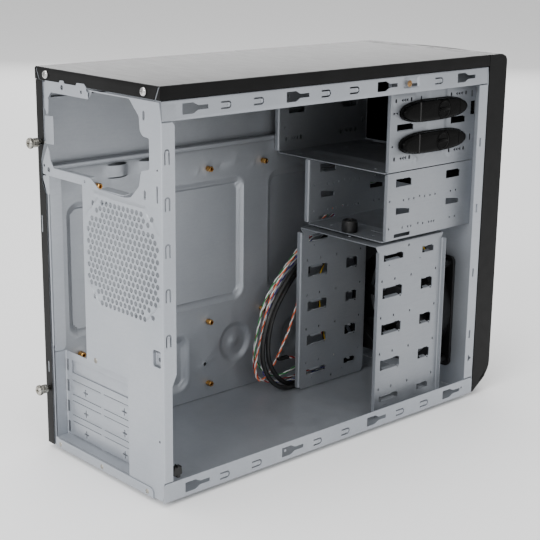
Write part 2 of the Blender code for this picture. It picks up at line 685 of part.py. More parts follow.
def bay_covers():
    """The covers that close the bays, and the slotted intake grille."""
    for name, x0, x1, z0, z1 in COVERS:
        front = BEZEL_FRONT + 1.0
        outline = [(front, z0), (front, z1), (front + 4.0, z1), (front + 4.0, z0)]
        cuts = []
        if name == "front_grille":
            cuts = [box(x0 + 5, x1 - 5, BEZEL_FRONT - 10, FRONT, z, z + 4.0) for z in range(36, 133, 8)]
        part(name, "black_plastic", [crowned(x0, x1, outline, 8)], cuts)


def front_controls():
    """Power and reset buttons, the lamps' lens, and the block that holds the sockets and switches."""
    face = BEZEL_FRONT - crown(BUTTON_X)
    part("power_button", "black_plastic",
         [turned("Y", (BUTTON_X, POWER_Z),
                 ((8.8, face + 6.5), (9.0, face + 0.6), (8.2, face - 0.2)), 24)],
         pivot=(BUTTON_X, face, POWER_Z), smooth=True)
    part("reset_button", "black_plastic",
         [turned("Y", (BUTTON_X - 9, RESET_Z),
                 ((3.0, face + 6.5), (3.0, face + 0.9), (2.6, face + 0.5)), 16)],
         pivot=(BUTTON_X - 9, face, RESET_Z), smooth=True)
    x0, x1 = BUTTON_X + 4, BUTTON_X + 14
    part("lamp_lens", "lens",
         [prism("Y", face + 0.6, face + 6.5, rounded(x0, x1, RESET_Z - 1.6, RESET_Z + 1.6, 1.5))])
    sockets = [box(38.5, 52.0, face - 5, face + 9, PORTS_Z - 2.9, PORTS_Z + 2.9)]
    sockets += [prism("Y", face - 5, face + 9, disc((x, PORTS_Z), 2.0, 12)) for x in (59.0, 68.0)]
    part("port_block", "black_plastic",
         [box(34.9, 73.1, face + 2.0, FRONT - 2.0, PORTS_Z - 5.6, PORTS_Z + 5.6),
          box(36.5, 71.5, FRONT - 14.0, FRONT - 2.0, PORTS_Z, POWER_Z + 8)], sockets)


# ---------------------------------------------------------------- small pieces

def feet():
    """Four rubber feet under the floor."""
    for side_x, side_y in ((-1, -1), (-1, 1), (1, -1), (1, 1)):
        name = "foot_" + ("front" if side_y < 0 else "rear") + ("_left" if side_x < 0 else "_right")
        centre = (side_x * 62.0, side_y * 150.0)
        profile = ((8.5, -FOOT_HEIGHT), (9.5, -FOOT_HEIGHT + 0.8), (10.0, -GAP))
        part(name, "rubber", [turned("Z", centre, profile, 20)], smooth=True)


def corner_clip():
    """The plastic clip at the foot of the rear left post."""
    part("corner_clip", "clip_plastic",
         [box(-88.0, -82.5, 182.5, 192.0, 21.5, 30.5), box(-87.4, -83.4, 184.0, 188.0, 18.4, 31.5)])


# ---------------------------------------------------------------- cables

CABLE = 5.0
LEAD = 2.6
FAN_LEAD = 3.4

CORDS = (
    # name, finish, diameter, route
    ("usb_cable", "cable_black", CABLE,
     ((48, -204.9, 188), (48, -194, 186.5), (49, -176, 180), (50, -150, 170), (50.5, -120, 155),
      (50.5, -98, 142.5),
      (50, -78, 128.5), (49.5, -62, 114), (49, -47, 95), (48.5, -37, 75), (47.5, -31, 56), (46, -30, 38),
      (43.5, -35, 21), (41, -45, 9.5), (39.8, -57, 4.4), (39.6, -72, 3.9), (39.6, -90, 3.9),
      (39.6, -110, 3.9),
      (40, -130, 4.1), (42.5, -149, 6.5), (46.5, -164, 15), (49.5, -170, 30), (51.5, -166, 46),
      (52, -153, 58),
      (52, -138, 63), (52, -121, 64))),
    ("audio_cable", "cable_black", CABLE,
     ((60, -204.9, 188), (60, -194, 186.5), (58, -176, 179), (56.5, -150, 165), (55.8, -120, 147),
      (55.5, -98, 132), (55, -80, 117.5), (54.5, -66, 103), (54, -53, 85), (53, -45, 66),
      (51.5, -41.5, 48),
      (49.4, -42.5, 32), (47.4, -49.5, 18), (46, -59.5, 8.5), (45.3, -72, 4.6), (45.3, -90, 4.1),
      (45.3, -110, 4.1), (46, -128, 4.6), (48, -146, 8.5), (52, -160, 18), (56.5, -165, 33),
      (60, -158, 47),
      (61, -143, 53), (61, -128, 53.5), (61, -115.2, 52.5))),
    ("power_lead", "lead_orange", LEAD,
     ((54, -204.7, 225), (54.3, -195, 221.5), (55, -178, 210), (55.2, -150, 193.5), (55, -120, 173.5),
      (54.6, -98, 157),
      (54.2, -80, 140.8), (54, -66, 128), (54, -53.5, 112), (54, -44, 95), (54, -38, 77), (54, -33, 58),
      (54, -28.5, 42), (54.2, -26.8, 29), (54.6, -28.2, 20), (55, -33, 14), (55.2, -39.5, 13.8),
      (55, -46, 18.5),
      (54.5, -51.4, 25.5), (53.5, -55.8, 33.5), (51.8, -59.6, 42.5), (50.3, -62.2, 50.5),
      (48.6, -65.8, 59),
      (46.2, -69.4, 72.5), (43.3, -73.4, 90), (40.8, -78, 106), (38.4, -83, 123))),
    ("reset_lead", "lead_green", LEAD,
     ((45, -204.7, 207), (47.5, -195, 206), (53.5, -178, 200.5), (57.6, -150, 188), (58.2, -120, 170),
      (58, -98, 154.5), (57.6, -80, 139), (57.3, -66, 126.5), (57.2, -51, 111), (57.2, -40, 94.5),
      (57.2, -34, 76), (57.2, -30, 58), (57.6, -28.5, 42), (58.2, -34.5, 29.5), (58.4, -43, 20.5),
      (57.2, -53, 14.5), (55, -62.5, 13.3), (53.4, -73.5, 15.5), (52.8, -86, 19), (54, -104, 22.5),
      (55.5, -124, 20), (56, -143, 14), (56, -156, 8))),
    ("lamp_lead", "lead_red", LEAD,
     ((60.5, -204.7, 209), (60.9, -195, 206), (61.5, -178, 194), (61.5, -150, 178.5), (61, -120, 162),
      (60.8, -98, 147), (60.6, -80, 132.5), (60.6, -65, 119), (60.6, -50, 101.5), (60.6, -40, 82),
      (60.8, -34, 62),
      (61, -30.5, 44), (61.4, -31.5, 27), (62, -38, 14.5), (63, -50, 6.5), (64, -64, 3.4),
      (64.5, -84, 2.7),
      (64.8, -104, 2.7), (64, -124, 5.0), (61.5, -138, 14), (58.5, -139, 26), (55.5, -127, 33),
      (52.5, -110, 33),
      (50.5, -94, 30), (49.2, -80, 30), (48.1, -67.4, 34))),
    ("disk_lead", "lead_blue", LEAD,
     ((64.5, -204.7, 205), (64.8, -195, 200.5), (65, -178, 190), (65, -150, 173), (64.5, -120, 155),
      (64, -98, 139),
      (63.5, -80, 123.5), (63, -66, 109), (62.6, -55, 91), (62.4, -47.5, 71), (62.2, -43.5, 51),
      (62.4, -43, 33),
      (61.4, -45, 17), (57, -54, 8.0), (53, -65, 5.8), (52, -77, 5.2), (53.5, -90, 4.0),
      (56.5, -105, 2.9),
      (60.5, -123, 2.7), (64, -142, 2.7), (65.8, -160, 2.7), (66, -176, 2.7))),
    ("fan_lead", "lead_mixed", FAN_LEAD,
     ((-30, -189.5, 145.5), (-26, -187.5, 151), (-16, -185, 157), (-3, -183.5, 161), (10, -182.5, 163.5),
      (22, -181, 165), (33, -177, 164), (42, -169, 160), (48, -157, 153), (50, -142, 146),
      (50, -127, 137),
      (49, -115, 123), (47, -109, 107), (45, -107.5, 90), (43.8, -109, 73), (43.2, -111.5, 57),
      (43, -116, 43),
      (43.2, -124, 31.5), (43.5, -134.6, 25))),
)

PLUGS = (
    # name, finish, low corner, high corner
    ("usb_plug", "clip_plastic", (46.5, -120.7, 60.0), (57.5, -102.0, 68.0)),
    ("audio_plug", "clip_plastic", (55.7, -114.7, 48.5), (66.3, -96.0, 56.5)),
    ("power_plug", "clip_plastic", (37.0, -86.0, 124.0), (39.8, -81.0, 138.0)),
    ("reset_plug", "clip_plastic", (53.5, -170.4, 4.3), (58.5, -156.3, 7.1)),
    ("lamp_plug", "clip_plastic", (45.6, -66.7, 33.0), (50.6, -52.7, 35.8)),
    ("disk_plug", "clip_plastic", (63.5, -190.4, 1.3), (68.5, -176.4, 4.1)),
    ("fan_plug", "white_nylon", (38.3, -157.5, 19.8), (48.8, -135.8, 29.8)),
)


def cables():
    for name, finish, diameter, route in CORDS:
        cord(name, finish, route, diameter)
    for name, finish, low, high in PLUGS:
        part(name, finish, [box(low[0], high[0], low[1], high[1], low[2], high[2])])


def main():
    for old in list(bpy.data.objects):
        bpy.data.objects.remove(old)
    frame = bpy.data.objects.new("case_frame", None)
    frame.location = (0.0, Y_SHIFT * MM, FOOT_HEIGHT * MM)
    bpy.context.scene.collection.objects.link(frame)
    builders = (floor_pan, rear_panel, slot_frame, slot_cover, motherboard_tray, standoffs, top_rails,
                front_panel, top_cover, side_panel, side_thumbscrews, cover_screws, drive_cage_525,
                drive_cage_35, hdd_cage, cage_thumbscrew, tool_less_clips, front_fan, fan_rotor, bezel,
                bay_covers, front_controls, feet, corner_clip, cables)
    for build in builders:
        build()


main()
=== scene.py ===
import bpy
import bmesh
import math
import numpy as np
from mathutils import Matrix, Vector, geometry

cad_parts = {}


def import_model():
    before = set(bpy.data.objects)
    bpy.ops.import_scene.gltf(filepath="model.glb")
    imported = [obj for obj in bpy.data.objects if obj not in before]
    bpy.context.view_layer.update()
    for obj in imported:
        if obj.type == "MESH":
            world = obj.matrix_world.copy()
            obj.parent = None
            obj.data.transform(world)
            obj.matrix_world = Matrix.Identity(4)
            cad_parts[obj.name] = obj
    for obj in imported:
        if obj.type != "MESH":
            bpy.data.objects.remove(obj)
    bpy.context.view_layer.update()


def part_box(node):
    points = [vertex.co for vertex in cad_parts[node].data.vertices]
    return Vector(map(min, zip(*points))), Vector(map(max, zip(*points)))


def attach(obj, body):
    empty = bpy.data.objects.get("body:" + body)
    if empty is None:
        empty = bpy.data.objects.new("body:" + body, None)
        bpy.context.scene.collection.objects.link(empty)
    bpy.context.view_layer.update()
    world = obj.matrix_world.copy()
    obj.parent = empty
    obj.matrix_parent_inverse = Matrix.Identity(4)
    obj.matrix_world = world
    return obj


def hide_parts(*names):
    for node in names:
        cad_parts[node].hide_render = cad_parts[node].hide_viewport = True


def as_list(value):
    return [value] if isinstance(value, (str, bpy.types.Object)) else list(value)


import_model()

MM = 0.001

# The chassis is drawn in its own millimetres, from the middle of its floor
SHEET = 0.8
cover_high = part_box("top_cover")[1]
pan_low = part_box("floor_pan")[0]
HALF_W = cover_high.x / MM
RIGHT_WALL = 88
REAR = 203.5
FRONT = -REAR
Y_SHIFT = cover_high.y / MM - REAR
Z_SHIFT = pan_low.z / MM
REAR_SKIN = REAR - 1.0
BEZEL_FRONT = FRONT - 27.5
FAN_Z = 82.0
FAN_BOLT = 52.5


def node_box(name):
    """A CAD node's lowest and highest corners in the chassis' millimetres."""
    low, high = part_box(name)
    shift = Vector((0, Y_SHIFT, Z_SHIFT))
    return low / MM - shift, high / MM - shift


def middle_of(low, high, axes):
    """The middle of a box along the axes named, such as "xz"."""
    return tuple((getattr(low, axis) + getattr(high, axis)) / 2 for axis in axes)


def world(point):
    """A point in the chassis' millimetres, as metres in the frame."""
    return Vector((point[0], point[1] + Y_SHIFT, point[2] + Z_SHIFT)) * MM


# ---------------------------------------------------------------- camera, light and floor

def camera():
    data = bpy.data.cameras.new("camera")
    data.lens, data.sensor_width = 85.17, 36.0
    data.clip_start, data.clip_end = 0.05, 20
    made = bpy.data.objects.new("camera", data)
    bpy.context.scene.collection.objects.link(made)
    azimuth, elevation, roll = (math.radians(a) for a in (227.51, 15.38, 0.71))
    back = Vector((math.sin(azimuth) * math.cos(elevation), -math.cos(azimuth) * math.cos(elevation),
                   math.sin(elevation)))
    right = Vector((0, 0, 1)).cross(back).normalized()
    up = back.cross(right)
    turned_right = right * math.cos(roll) + up * math.sin(roll)
    turned_up = up * math.cos(roll) - right * math.sin(roll)
    place = Matrix((turned_right, turned_up, back)).transposed().to_4x4()
    place.translation = (-0.8753, 0.8154, 0.4819)
    made.matrix_world = place
    bpy.context.scene.camera = made


def softbox(name, place, target, size, power):
    data = bpy.data.lights.new(name, "AREA")
    data.shape, data.size, data.size_y = "RECTANGLE", *size
    data.energy = power
    made = bpy.data.objects.new(name, data)
    made.location = place
    made.rotation_euler = (Vector(target) - Vector(place)).to_track_quat("-Z", "Y").to_euler()
    bpy.context.scene.collection.objects.link(made)


def studio():
    sky = bpy.data.worlds.new("studio")
    sky.use_nodes = True
    sky.node_tree.nodes["Background"].inputs["Color"].default_value = (1.0, 1.0, 1.0, 1.0)
    sky.node_tree.nodes["Background"].inputs["Strength"].default_value = 0.85
    bpy.context.scene.world = sky
    softbox("rear_light", (-0.9, 2.7, 1.6), (0, 0.1, 0.2), (1.8, 1.6), 72)
    softbox("side_light", (-2.7, 0.2, 1.3), (0, 0, 0.15), (1.6, 1.4), 11.5)
    softbox("roof_light", (0.3, 0.3, 2.8), (0, 0, 0.2), (2.6, 2.6), 60)
    softbox("front_light", (2.2, -2.05, 1.0), (0, 0, 0.35), (2.6, 1.0), 25)
    bm = bmesh.new()
    bmesh.ops.create_grid(bm, x_segments=2, y_segments=2, size=6.0)
    mesh = bpy.data.meshes.new("floor")
    bm.to_mesh(mesh)
    bm.free()
    floor = bpy.data.objects.new("floor", mesh)
    bpy.context.scene.collection.objects.link(floor)
    paper = bpy.data.materials.new("paper")
    paper.use_nodes = True
    shader = paper.node_tree.nodes["Principled BSDF"]
    shader.inputs["Base Color"].default_value = (0.93, 0.93, 0.93, 1.0)
    shader.inputs["Roughness"].default_value = 0.8
    mesh.materials.append(paper)


# ---------------------------------------------------------------- finishes

class Finish:
    """A Principled material whose colour, roughness and relief come from noise in object space."""

    def __init__(self, name, metallic=0.0, **sockets):
        self.material = bpy.data.materials.new(name)
        self.material.use_nodes = True
        self.tree = self.material.node_tree
        self.shader = self.tree.nodes["Principled BSDF"]
        self.shader.inputs["Metallic"].default_value = metallic
        for socket, value in sockets.items():
            self.shader.inputs[socket.replace("_", " ")].default_value = value
        self.place = self.tree.nodes.new("ShaderNodeTexCoord").outputs["Object"]

    def node(self, kind, inputs, **settings):
        made = self.tree.nodes.new(kind)
        for key, value in settings.items():
            setattr(made, key, value)
        for key, value in inputs.items():
            if isinstance(value, bpy.types.NodeSocket):
                self.tree.links.new(value, made.inputs[key])
            else:
                made.inputs[key].default_value = value
        return made

    def noise(self, scale, detail=3.0, stretch=(1, 1, 1), roughness=0.55):
        place = self.node("ShaderNodeMapping", {"Vector": self.place, "Scale": stretch}).outputs[0]
        found = self.node("ShaderNodeTexNoise", {"Vector": place, "Scale": scale, "Detail": detail,
                                                 "Roughness": roughness})
        return found.outputs["Fac"]

    def cells(self, scale, stretch=(1, 1, 1)):
        place = self.node("ShaderNodeMapping", {"Vector": self.place, "Scale": stretch}).outputs[0]
        return self.node("ShaderNodeTexVoronoi", {"Vector": place, "Scale": scale}).outputs["Color"]

    def spread(self, value, low, high, start=0.35, end=0.65):
        found = self.node("ShaderNodeMapRange", {"Value": value, "From Min": start, "From Max": end,
                                                 "To Min": low, "To Max": high})
        return found.outputs["Result"]

    def blend(self, factor, first, second):
        made = self.node("ShaderNodeMix", {}, data_type="RGBA")
        for index, value in ((0, factor), (6, first), (7, second)):
            if isinstance(value, bpy.types.NodeSocket):
                self.tree.links.new(value, made.inputs[index])
            else:
                made.inputs[index].default_value = value
        return made.outputs[2]

    def colour(self, value):
        self.tree.links.new(value, self.shader.inputs["Base Color"])
        return self

    def roughness(self, value):
        self.tree.links.new(value, self.shader.inputs["Roughness"])
        return self

    def bump(self, height, distance, strength=0.5):
        found = self.node("ShaderNodeBump", {"Height": height, "Distance": distance, "Strength": strength})
        if self.shader.inputs["Normal"].is_linked:
            self.tree.links.new(self.shader.inputs["Normal"].links[0].from_socket, found.inputs["Normal"])
        self.tree.links.new(found.outputs["Normal"], self.shader.inputs["Normal"])
        return self


def grey(value, warm=0.0, alpha=1.0):
    return (value * (1 + warm), value * (1 + warm * 0.2), value * (1 - warm), alpha)


def galvanised(name, light, grain=(1, 1, 14)):
    """Zinc-coated sheet: faint cloudy patches, a fine spangle and a rolled grain."""
    made = Finish(name, metallic=0.62)
    cloud = made.noise(9, 4)
    spangle = made.cells(520)
    patches = made.blend(made.spread(cloud, 0, 1), grey(light * 0.93, -0.075), grey(light * 1.05, -0.062))
    made.colour(made.blend(made.spread(spangle, 0.0, 0.16, 0.2, 0.8), patches, grey(light * 0.84, -0.08)))
    made.roughness(made.spread(made.noise(60, 3, grain), 0.36, 0.5, 0.3, 0.7))
    made.bump(made.noise(700, 2, grain), 0.00006, 0.25)
    made.bump(made.noise(14, 2), 0.0012, 0.06)
    return made.material


def black_paint(name):
    """Satin powder coat with a fine orange peel, a little dust and a few faint rubs."""
    made = Finish(name, IOR=1.5, Specular_IOR_Level=0.14)
    dust = made.noise(26, 5)
    made.colour(made.blend(made.spread(dust, 0, 1), (0.0015, 0.0015, 0.0015, 1), (0.0042, 0.0042, 0.0043, 1)))
    rubs = made.noise(35, 6, (1, 9, 9))
    made.roughness(made.spread(rubs, 0.34, 0.4, 0.3, 0.75))
    made.bump(made.noise(1400, 2), 0.00005, 0.22)
    made.bump(made.noise(300, 2), 0.00008, 0.12)
    return made.material


def moulded(name, colour, rough, grain=0.3, scale=1800, shine=0.35):
    """Moulded plastic with a fine spark-eroded grain."""
    made = Finish(name, Specular_IOR_Level=shine)
    shade = tuple(c * 1.35 for c in colour[:3]) + (1,)
    made.colour(made.blend(made.spread(made.noise(40, 4), 0, 1), colour, shade))
    made.roughness(made.spread(made.noise(90, 4), rough - 0.06, rough + 0.07))
    made.bump(made.noise(scale, 2), 0.00006, grain)
    return made.material


def turned_metal(name, dark, light, rough):
    """Plated or bare turned metal with fine tool marks and handling stains."""
    made = Finish(name, metallic=1.0)
    made.colour(made.blend(made.spread(made.noise(160, 4), 0, 1), dark, light))
    made.roughness(made.spread(made.noise(240, 4), rough - 0.07, rough + 0.1))
    made.bump(made.noise(2600, 2, (1, 1, 6)), 0.00003, 0.3)
    return made.material


def insulation(name, colour, rough=0.38):
    """Smooth PVC with slight uneven sheen and faint scuffs."""
    made = Finish(name, Subsurface_Weight=0.04)
    shade = tuple(c * 0.8 for c in colour[:3]) + (1,)
    made.colour(made.blend(made.spread(made.noise(120, 3), 0, 1), shade, colour))
    made.roughness(made.spread(made.noise(260, 3), rough - 0.05, rough + 0.1))
    made.bump(made.noise(900, 2), 0.00004, 0.15)
    return made.material


def clear_lens(name, colour):
    made = Finish(name, Transmission_Weight=0.35, IOR=1.49)
    made.colour(made.blend(made.spread(made.noise(300, 2), 0, 1), colour, tuple(c * 0.85 for c in colour)))
    made.roughness(made.spread(made.noise(400, 2), 0.1, 0.2))
    made.bump(made.noise(1500, 2), 0.00003, 0.1)
    return made.material


ZINC = galvanised("zinc_sheet", 0.42)
# The same zinc with its grain turned across, for the rails, tabs and corner backing; its darker tone is
# painted shade.
ZINC_FLAT_SHADED = galvanised("zinc_flat_shaded", 0.36, (14, 1, 1))
# A darker copy of the same zinc for the tray and the side panel's bare inner face: painted shade for the
# inside of the case.
ZINC_SHADED_INSIDE = galvanised("zinc_shaded_inside", 0.37)
# A darker copy still of the same zinc for the drive and disk cages: painted shade.
ZINC_SHADED_CAGE = galvanised("zinc_shaded_cage", 0.30)
RAIL_BRASS = turned_metal("rail_screw_brass", (0.16, 0.09, 0.04, 1), (0.4, 0.25, 0.12, 1), 0.3)
PAINT = black_paint("black_powder_coat")
BEZEL = moulded("bezel_plastic", (0.003, 0.003, 0.0031, 1), 0.38, 0.35, 1500, 0.13)
GLOSS = moulded("clip_plastic", (0.0012, 0.0012, 0.0012, 1), 0.24, 0.08, 1800, 0.06)
FAN_PLASTIC = moulded("fan_plastic", (0.006, 0.006, 0.0065, 1), 0.42, 0.2)
HOUSING = moulded("plug_plastic", (0.006, 0.006, 0.006, 1), 0.42, 0.2)
NYLON = moulded("white_nylon", (0.6, 0.59, 0.55, 1), 0.42, 0.15)
FOOT = moulded("foot_plastic", (0.016, 0.016, 0.016, 1), 0.7, 0.5, 900)
BRASS = turned_metal("brass", (0.34, 0.17, 0.045, 1), (0.6, 0.34, 0.1, 1), 0.28)
NICKEL = turned_metal("nickel", (0.2, 0.19, 0.165, 1), (0.5, 0.48, 0.43, 1), 0.26)
SCREW_ZINC = turned_metal("screw_zinc", (0.42, 0.42, 0.42, 1), (0.72, 0.71, 0.69, 1), 0.24)
TIN = turned_metal("tinned_contact", (0.4, 0.36, 0.25, 1), (0.66, 0.6, 0.42, 1), 0.25)
JACKET = insulation("cable_jacket", (0.005, 0.005, 0.005, 1), 0.4)
WIRE = {"white": insulation("wire_white", (0.78, 0.78, 0.76, 1)),
        "orange": insulation("wire_orange", (0.85, 0.13, 0.02, 1)),
        "green": insulation("wire_green", (0.012, 0.22, 0.045, 1)),
        "red": insulation("wire_red", (0.42, 0.012, 0.012, 1)),
        "blue": insulation("wire_blue", (0.06, 0.045, 0.34, 1)),
        "yellow": insulation("wire_yellow", (0.8, 0.5, 0.02, 1)),
        "black": insulation("wire_black", (0.012, 0.012, 0.012, 1))}
LENS = clear_lens("lamp_lens", (0.3, 0.42, 0.75, 1))


# ---------------------------------------------------------------- outlines

def arc(centre, radius, start, end, steps):
    angles = [math.radians(start + (end - start) * i / steps) for i in range(steps + 1)]
    return [(centre[0] + radius * math.cos(a), centre[1] + radius * math.sin(a)) for a in angles]


def disc(centre, radius, segments=16):
    return arc(centre, radius, 0, 360, segments)[:-1]


def rect(a0, a1, b0, b1):
    return [(a1, b1), (a0, b1), (a0, b0), (a1, b0)]


def rounded(a0, a1, b0, b1, radius, steps=4):
    """A rectangle's outline with round corners."""
    return (arc((a1 - radius, b1 - radius), radius, 0, 90, steps)
            + arc((a0 + radius, b1 - radius), radius, 90, 180, steps)
            + arc((a0 + radius, b0 + radius), radius, 180, 270, steps)
            + arc((a1 - radius, b0 + radius), radius, 270, 360, steps))


def slotted(a, b, radius, steps=6):
    """A round-ended slot from point a to point b."""
    turn = math.degrees(math.atan2(b[1] - a[1], b[0] - a[0]))
    return arc(b, radius, turn - 90, turn + 90, steps) + arc(a, radius, turn + 90, turn + 270, steps)


def softened(points, radius, steps=3):
    """An outline with each corner cut by a small curve."""
    out = []
    count = len(points)
    for i, corner in enumerate(points):
        here = Vector(corner)
        to_last = Vector(points[i - 1]) - here
        to_next = Vector(points[(i + 1) % count]) - here
        reach = min(radius, to_last.length * 0.45, to_next.length * 0.45)
        start, end = here + to_last.normalized() * reach, here + to_next.normalized() * reach
        for k in range(steps + 1):
            t = k / steps
            out.append(tuple(start * (1 - t) ** 2 + here * 2 * t * (1 - t) + end * t ** 2))
    return out


def moved(outline, da, db):
    return [(a + da, b + db) for a, b in outline]


def swapped(outline):
    return [(b, a) for a, b in outline]


def cross(centre, reach, half):
    """A plus-shaped hole."""
    out = []
    for turn in range(4):
        for a, b in ((half, half), (half, reach), (-half, reach)):
            for _ in range(turn):
                a, b = -b, a
            out.append((centre[0] + a, centre[1] + b))
    return out


# ---------------------------------------------------------------- pressed relief

def ease(x):
    x = np.clip(x, 0, 1)
    return x * x * (3 - 2 * x)


def box_distance(s, t, s0, s1, t0, t1, radius):
    """Signed distance to a rounded rectangle, negative inside."""
    ds = np.abs(s - (s0 + s1) / 2) - ((s1 - s0) / 2 - radius)
    dt = np.abs(t - (t0 + t1) / 2) - ((t1 - t0) / 2 - radius)
    outside = np.hypot(np.maximum(ds, 0), np.maximum(dt, 0))
    return outside + np.minimum(np.maximum(ds, dt), 0) - radius


def pocket(s0, s1, t0, t1, radius, height, slope):
    """A rounded rectangle pressed to a height, with a sloping rim inside its outline."""
    return lambda s, t: height * ease(-box_distance(s, t, s0, s1, t0, t1, radius) / slope)


def dish(centre, radius, height, slope):
    return lambda s, t: height * ease((radius - np.hypot(s - centre[0], t - centre[1])) / slope)


def ridge(a, b, half, height):
    """A round-backed rib from point a to point b."""
    def lift(s, t):
        along = np.array(b, float) - np.array(a, float)
        share = ((s - a[0]) * along[0] + (t - a[1]) * along[1]) / (along @ along)
        share = np.clip(share, 0, 1)
        away = np.hypot(s - a[0] - share * along[0], t - a[1] - share * along[1])
        return height * ease((half - away) / half)
    return lift


def stacked(*reliefs):
    return lambda s, t: sum((relief(s, t) for relief in reliefs), np.zeros(len(s)))


# ---------------------------------------------------------------- shapes, as (points, faces)

def bend_line(line, side, radius):
    """Where a length s along a sharp line lies once its corners are rounded, and the outward normal there."""
    points = np.array(line, float)
    steps = np.diff(points, axis=0)
    lengths = np.hypot(steps[:, 0], steps[:, 1])
    unit = steps / lengths[:, None]
    starts = np.concatenate([[0], np.cumsum(lengths)])
    left = np.stack([-unit[:, 1], unit[:, 0]], 1)

    def at(s):
        k = np.clip(np.searchsorted(starts, s, side="right") - 1, 0, len(unit) - 1)
        place = points[k] + unit[k] * (s - starts[k])[:, None]
        normal = side * left[k]
        for i in range(1, len(unit)):
            reach = radius[i - 1]
            near = np.abs(s - starts[i]) < reach
            turn = math.atan2(unit[i - 1][0] * unit[i][1] - unit[i - 1][1] * unit[i][0],
                              unit[i - 1] @ unit[i])
            if not near.any() or abs(turn) < 1e-6:
                continue
            bend = reach / math.tan(abs(turn) / 2)
            angle = ((s[near] - starts[i]) / reach + 1) / 2 * abs(turn)
            inward = math.copysign(1, turn) * left[i - 1]
            centre = points[i] - unit[i - 1] * reach + inward * bend
            cos, sin = np.cos(angle)[:, None], np.sin(angle)[:, None]
            radial = -inward * cos + unit[i - 1] * sin
            place[near] = centre + radial * bend
            normal[near] = radial * (1 if (side * left[i - 1]) @ (-inward) > 0 else -1)
        return place, normal
    return at, starts


def inside(points, loops):
    """Which points are inside an odd number of the loops."""
    hit = np.zeros(len(points), bool)
    for loop in loops:
        a = np.array(loop, float)
        near = ((points[:, 1] >= a[:, 1].min()) & (points[:, 1] <= a[:, 1].max())
                & (points[:, 0] <= a[:, 0].max()))
        index = np.nonzero(near)[0]
        if not len(index):
            continue
        x, y = points[index, 0], points[index, 1]
        odd = np.zeros(len(index), bool)
        for (x0, y0), (x1, y1) in zip(a, np.roll(a, -1, 0)):
            if y0 != y1:
                odd ^= ((y0 > y) != (y1 > y)) & (x < (x1 - x0) * (y - y0) / (y1 - y0) + x0)
        hit[index] ^= odd
    return hit


def relief_points(relief, loops, low, high, grid):
    """Points on a grid wherever the relief changes height, inside the loops."""
    ss, tt = np.meshgrid(np.arange(low[0] + grid / 2, high[0], grid),
                         np.arange(low[1] + grid / 2, high[1], grid))
    ss, tt = ss.ravel(), tt.ravel()
    here = relief(ss, tt)
    change = np.zeros(len(ss))
    for da, db in ((1, 0), (-1, 0), (0, 1), (0, -1), (1, 1), (-1, -1), (1, -1), (-1, 1)):
        change = np.maximum(change, np.abs(relief(ss + da * grid, tt + db * grid) - here))
    keep = (change > 0.02) & inside(np.stack([ss, tt], 1), loops)
    return [Vector(p) for p in zip(ss[keep], tt[keep])]


def doubled(faces, count):
    """The faces of a closed plate: a skin, its twin count points further on, and the walls between."""
    solid = [tuple(f) for f in faces] + [tuple(f[::-1] + count) for f in faces]
    sides = {}
    for a, b, c in faces:
        for edge in ((a, b), (b, c), (c, a)):
            if edge[::-1] in sides:
                del sides[edge[::-1]]
            else:
                sides[edge] = True
    return solid + [(a, b, b + count, a + count) for a, b in sides]


def sheet(axis, line, loops, side=1, thick=SHEET, bend=1.0, relief=None, grid=2.5, bend_steps=4):
    """Pressed sheet metal. line is its skin's section in the plane across axis, with sharp corners that
    are then rounded; loops are its outline and holes as (length along line, place along axis)."""
    radius = list(bend) if isinstance(bend, (list, tuple)) else [bend] * (len(line) - 2)
    at, starts = bend_line(line, side, radius)
    outline = np.array(loops[0], float)
    low, high = outline.min(0), outline.max(0)
    coords, edges = [], []
    for loop in loops:
        first = len(coords)
        coords += [Vector(p) for p in loop]
        edges += [(first + i, first + (i + 1) % len(loop)) for i in range(len(loop))]
    for corner, reach in zip(starts[1:-1], radius):
        for k in range(bend_steps + 1):
            s = corner + reach * (2 * k / bend_steps - 1)
            if low[0] < s < high[0]:
                coords += [Vector((s, low[1] - 1)), Vector((s, high[1] + 1))]
                edges.append((len(coords) - 2, len(coords) - 1))
    if relief:
        coords += relief_points(relief, loops, low, high, grid)
    flat, _, faces, *_ = geometry.delaunay_2d_cdt(coords, edges, [], 0, 1e-4, False)
    flat = np.array([tuple(p) for p in flat])
    faces = np.array([tuple(f) for f in faces])
    faces = faces[inside(flat[faces].mean(1), loops)]
    used, faces = np.unique(faces, return_inverse=True)
    faces = faces.reshape(-1, 3)
    flat = flat[used]
    place, normal = at(flat[:, 0])
    lift = relief(flat[:, 0], flat[:, 1]) if relief else np.zeros(len(flat))
    layers = [place + normal * (lift - depth)[:, None] for depth in (0.0, thick)]
    order = {"X": (2, 0, 1), "Y": (0, 2, 1), "Z": (0, 1, 2)}[axis]
    points = np.concatenate([np.column_stack([layer, flat[:, 1]])[:, order] for layer in layers])
    return points, doubled(faces, len(flat))


def block(x0, x1, y0, y1, z0, z1):
    points = [(x, y, z) for x in (x0, x1) for y in (y0, y1) for z in (z0, z1)]
    return np.array(points, float), [(0, 1, 3, 2), (4, 6, 7, 5), (0, 4, 5, 1), (2, 3, 7, 6), (0, 2, 6, 4),
                                     (1, 5, 7, 3)]


def placed(axis, first, second, along):
    return {"X": (along, first, second), "Y": (first, along, second), "Z": (first, second, along)}[axis]


def loft(rings):
    """A closed shape through rings of points, capped at both ends."""
    count = len(rings[0])
    points = np.array([p for ring in rings for p in ring], float)
    faces = [tuple(range(count)), tuple(range((len(rings) - 1) * count, len(rings) * count))]
    for k in range(len(rings) - 1):
        for i in range(count):
            j = (i + 1) % count
            faces.append((k * count + i, k * count + j, (k + 1) * count + j, (k + 1) * count + i))
    return points, faces


def prism(axis, start, end, outline):
    return loft([[placed(axis, a, b, along) for a, b in outline] for along in (start, end)])


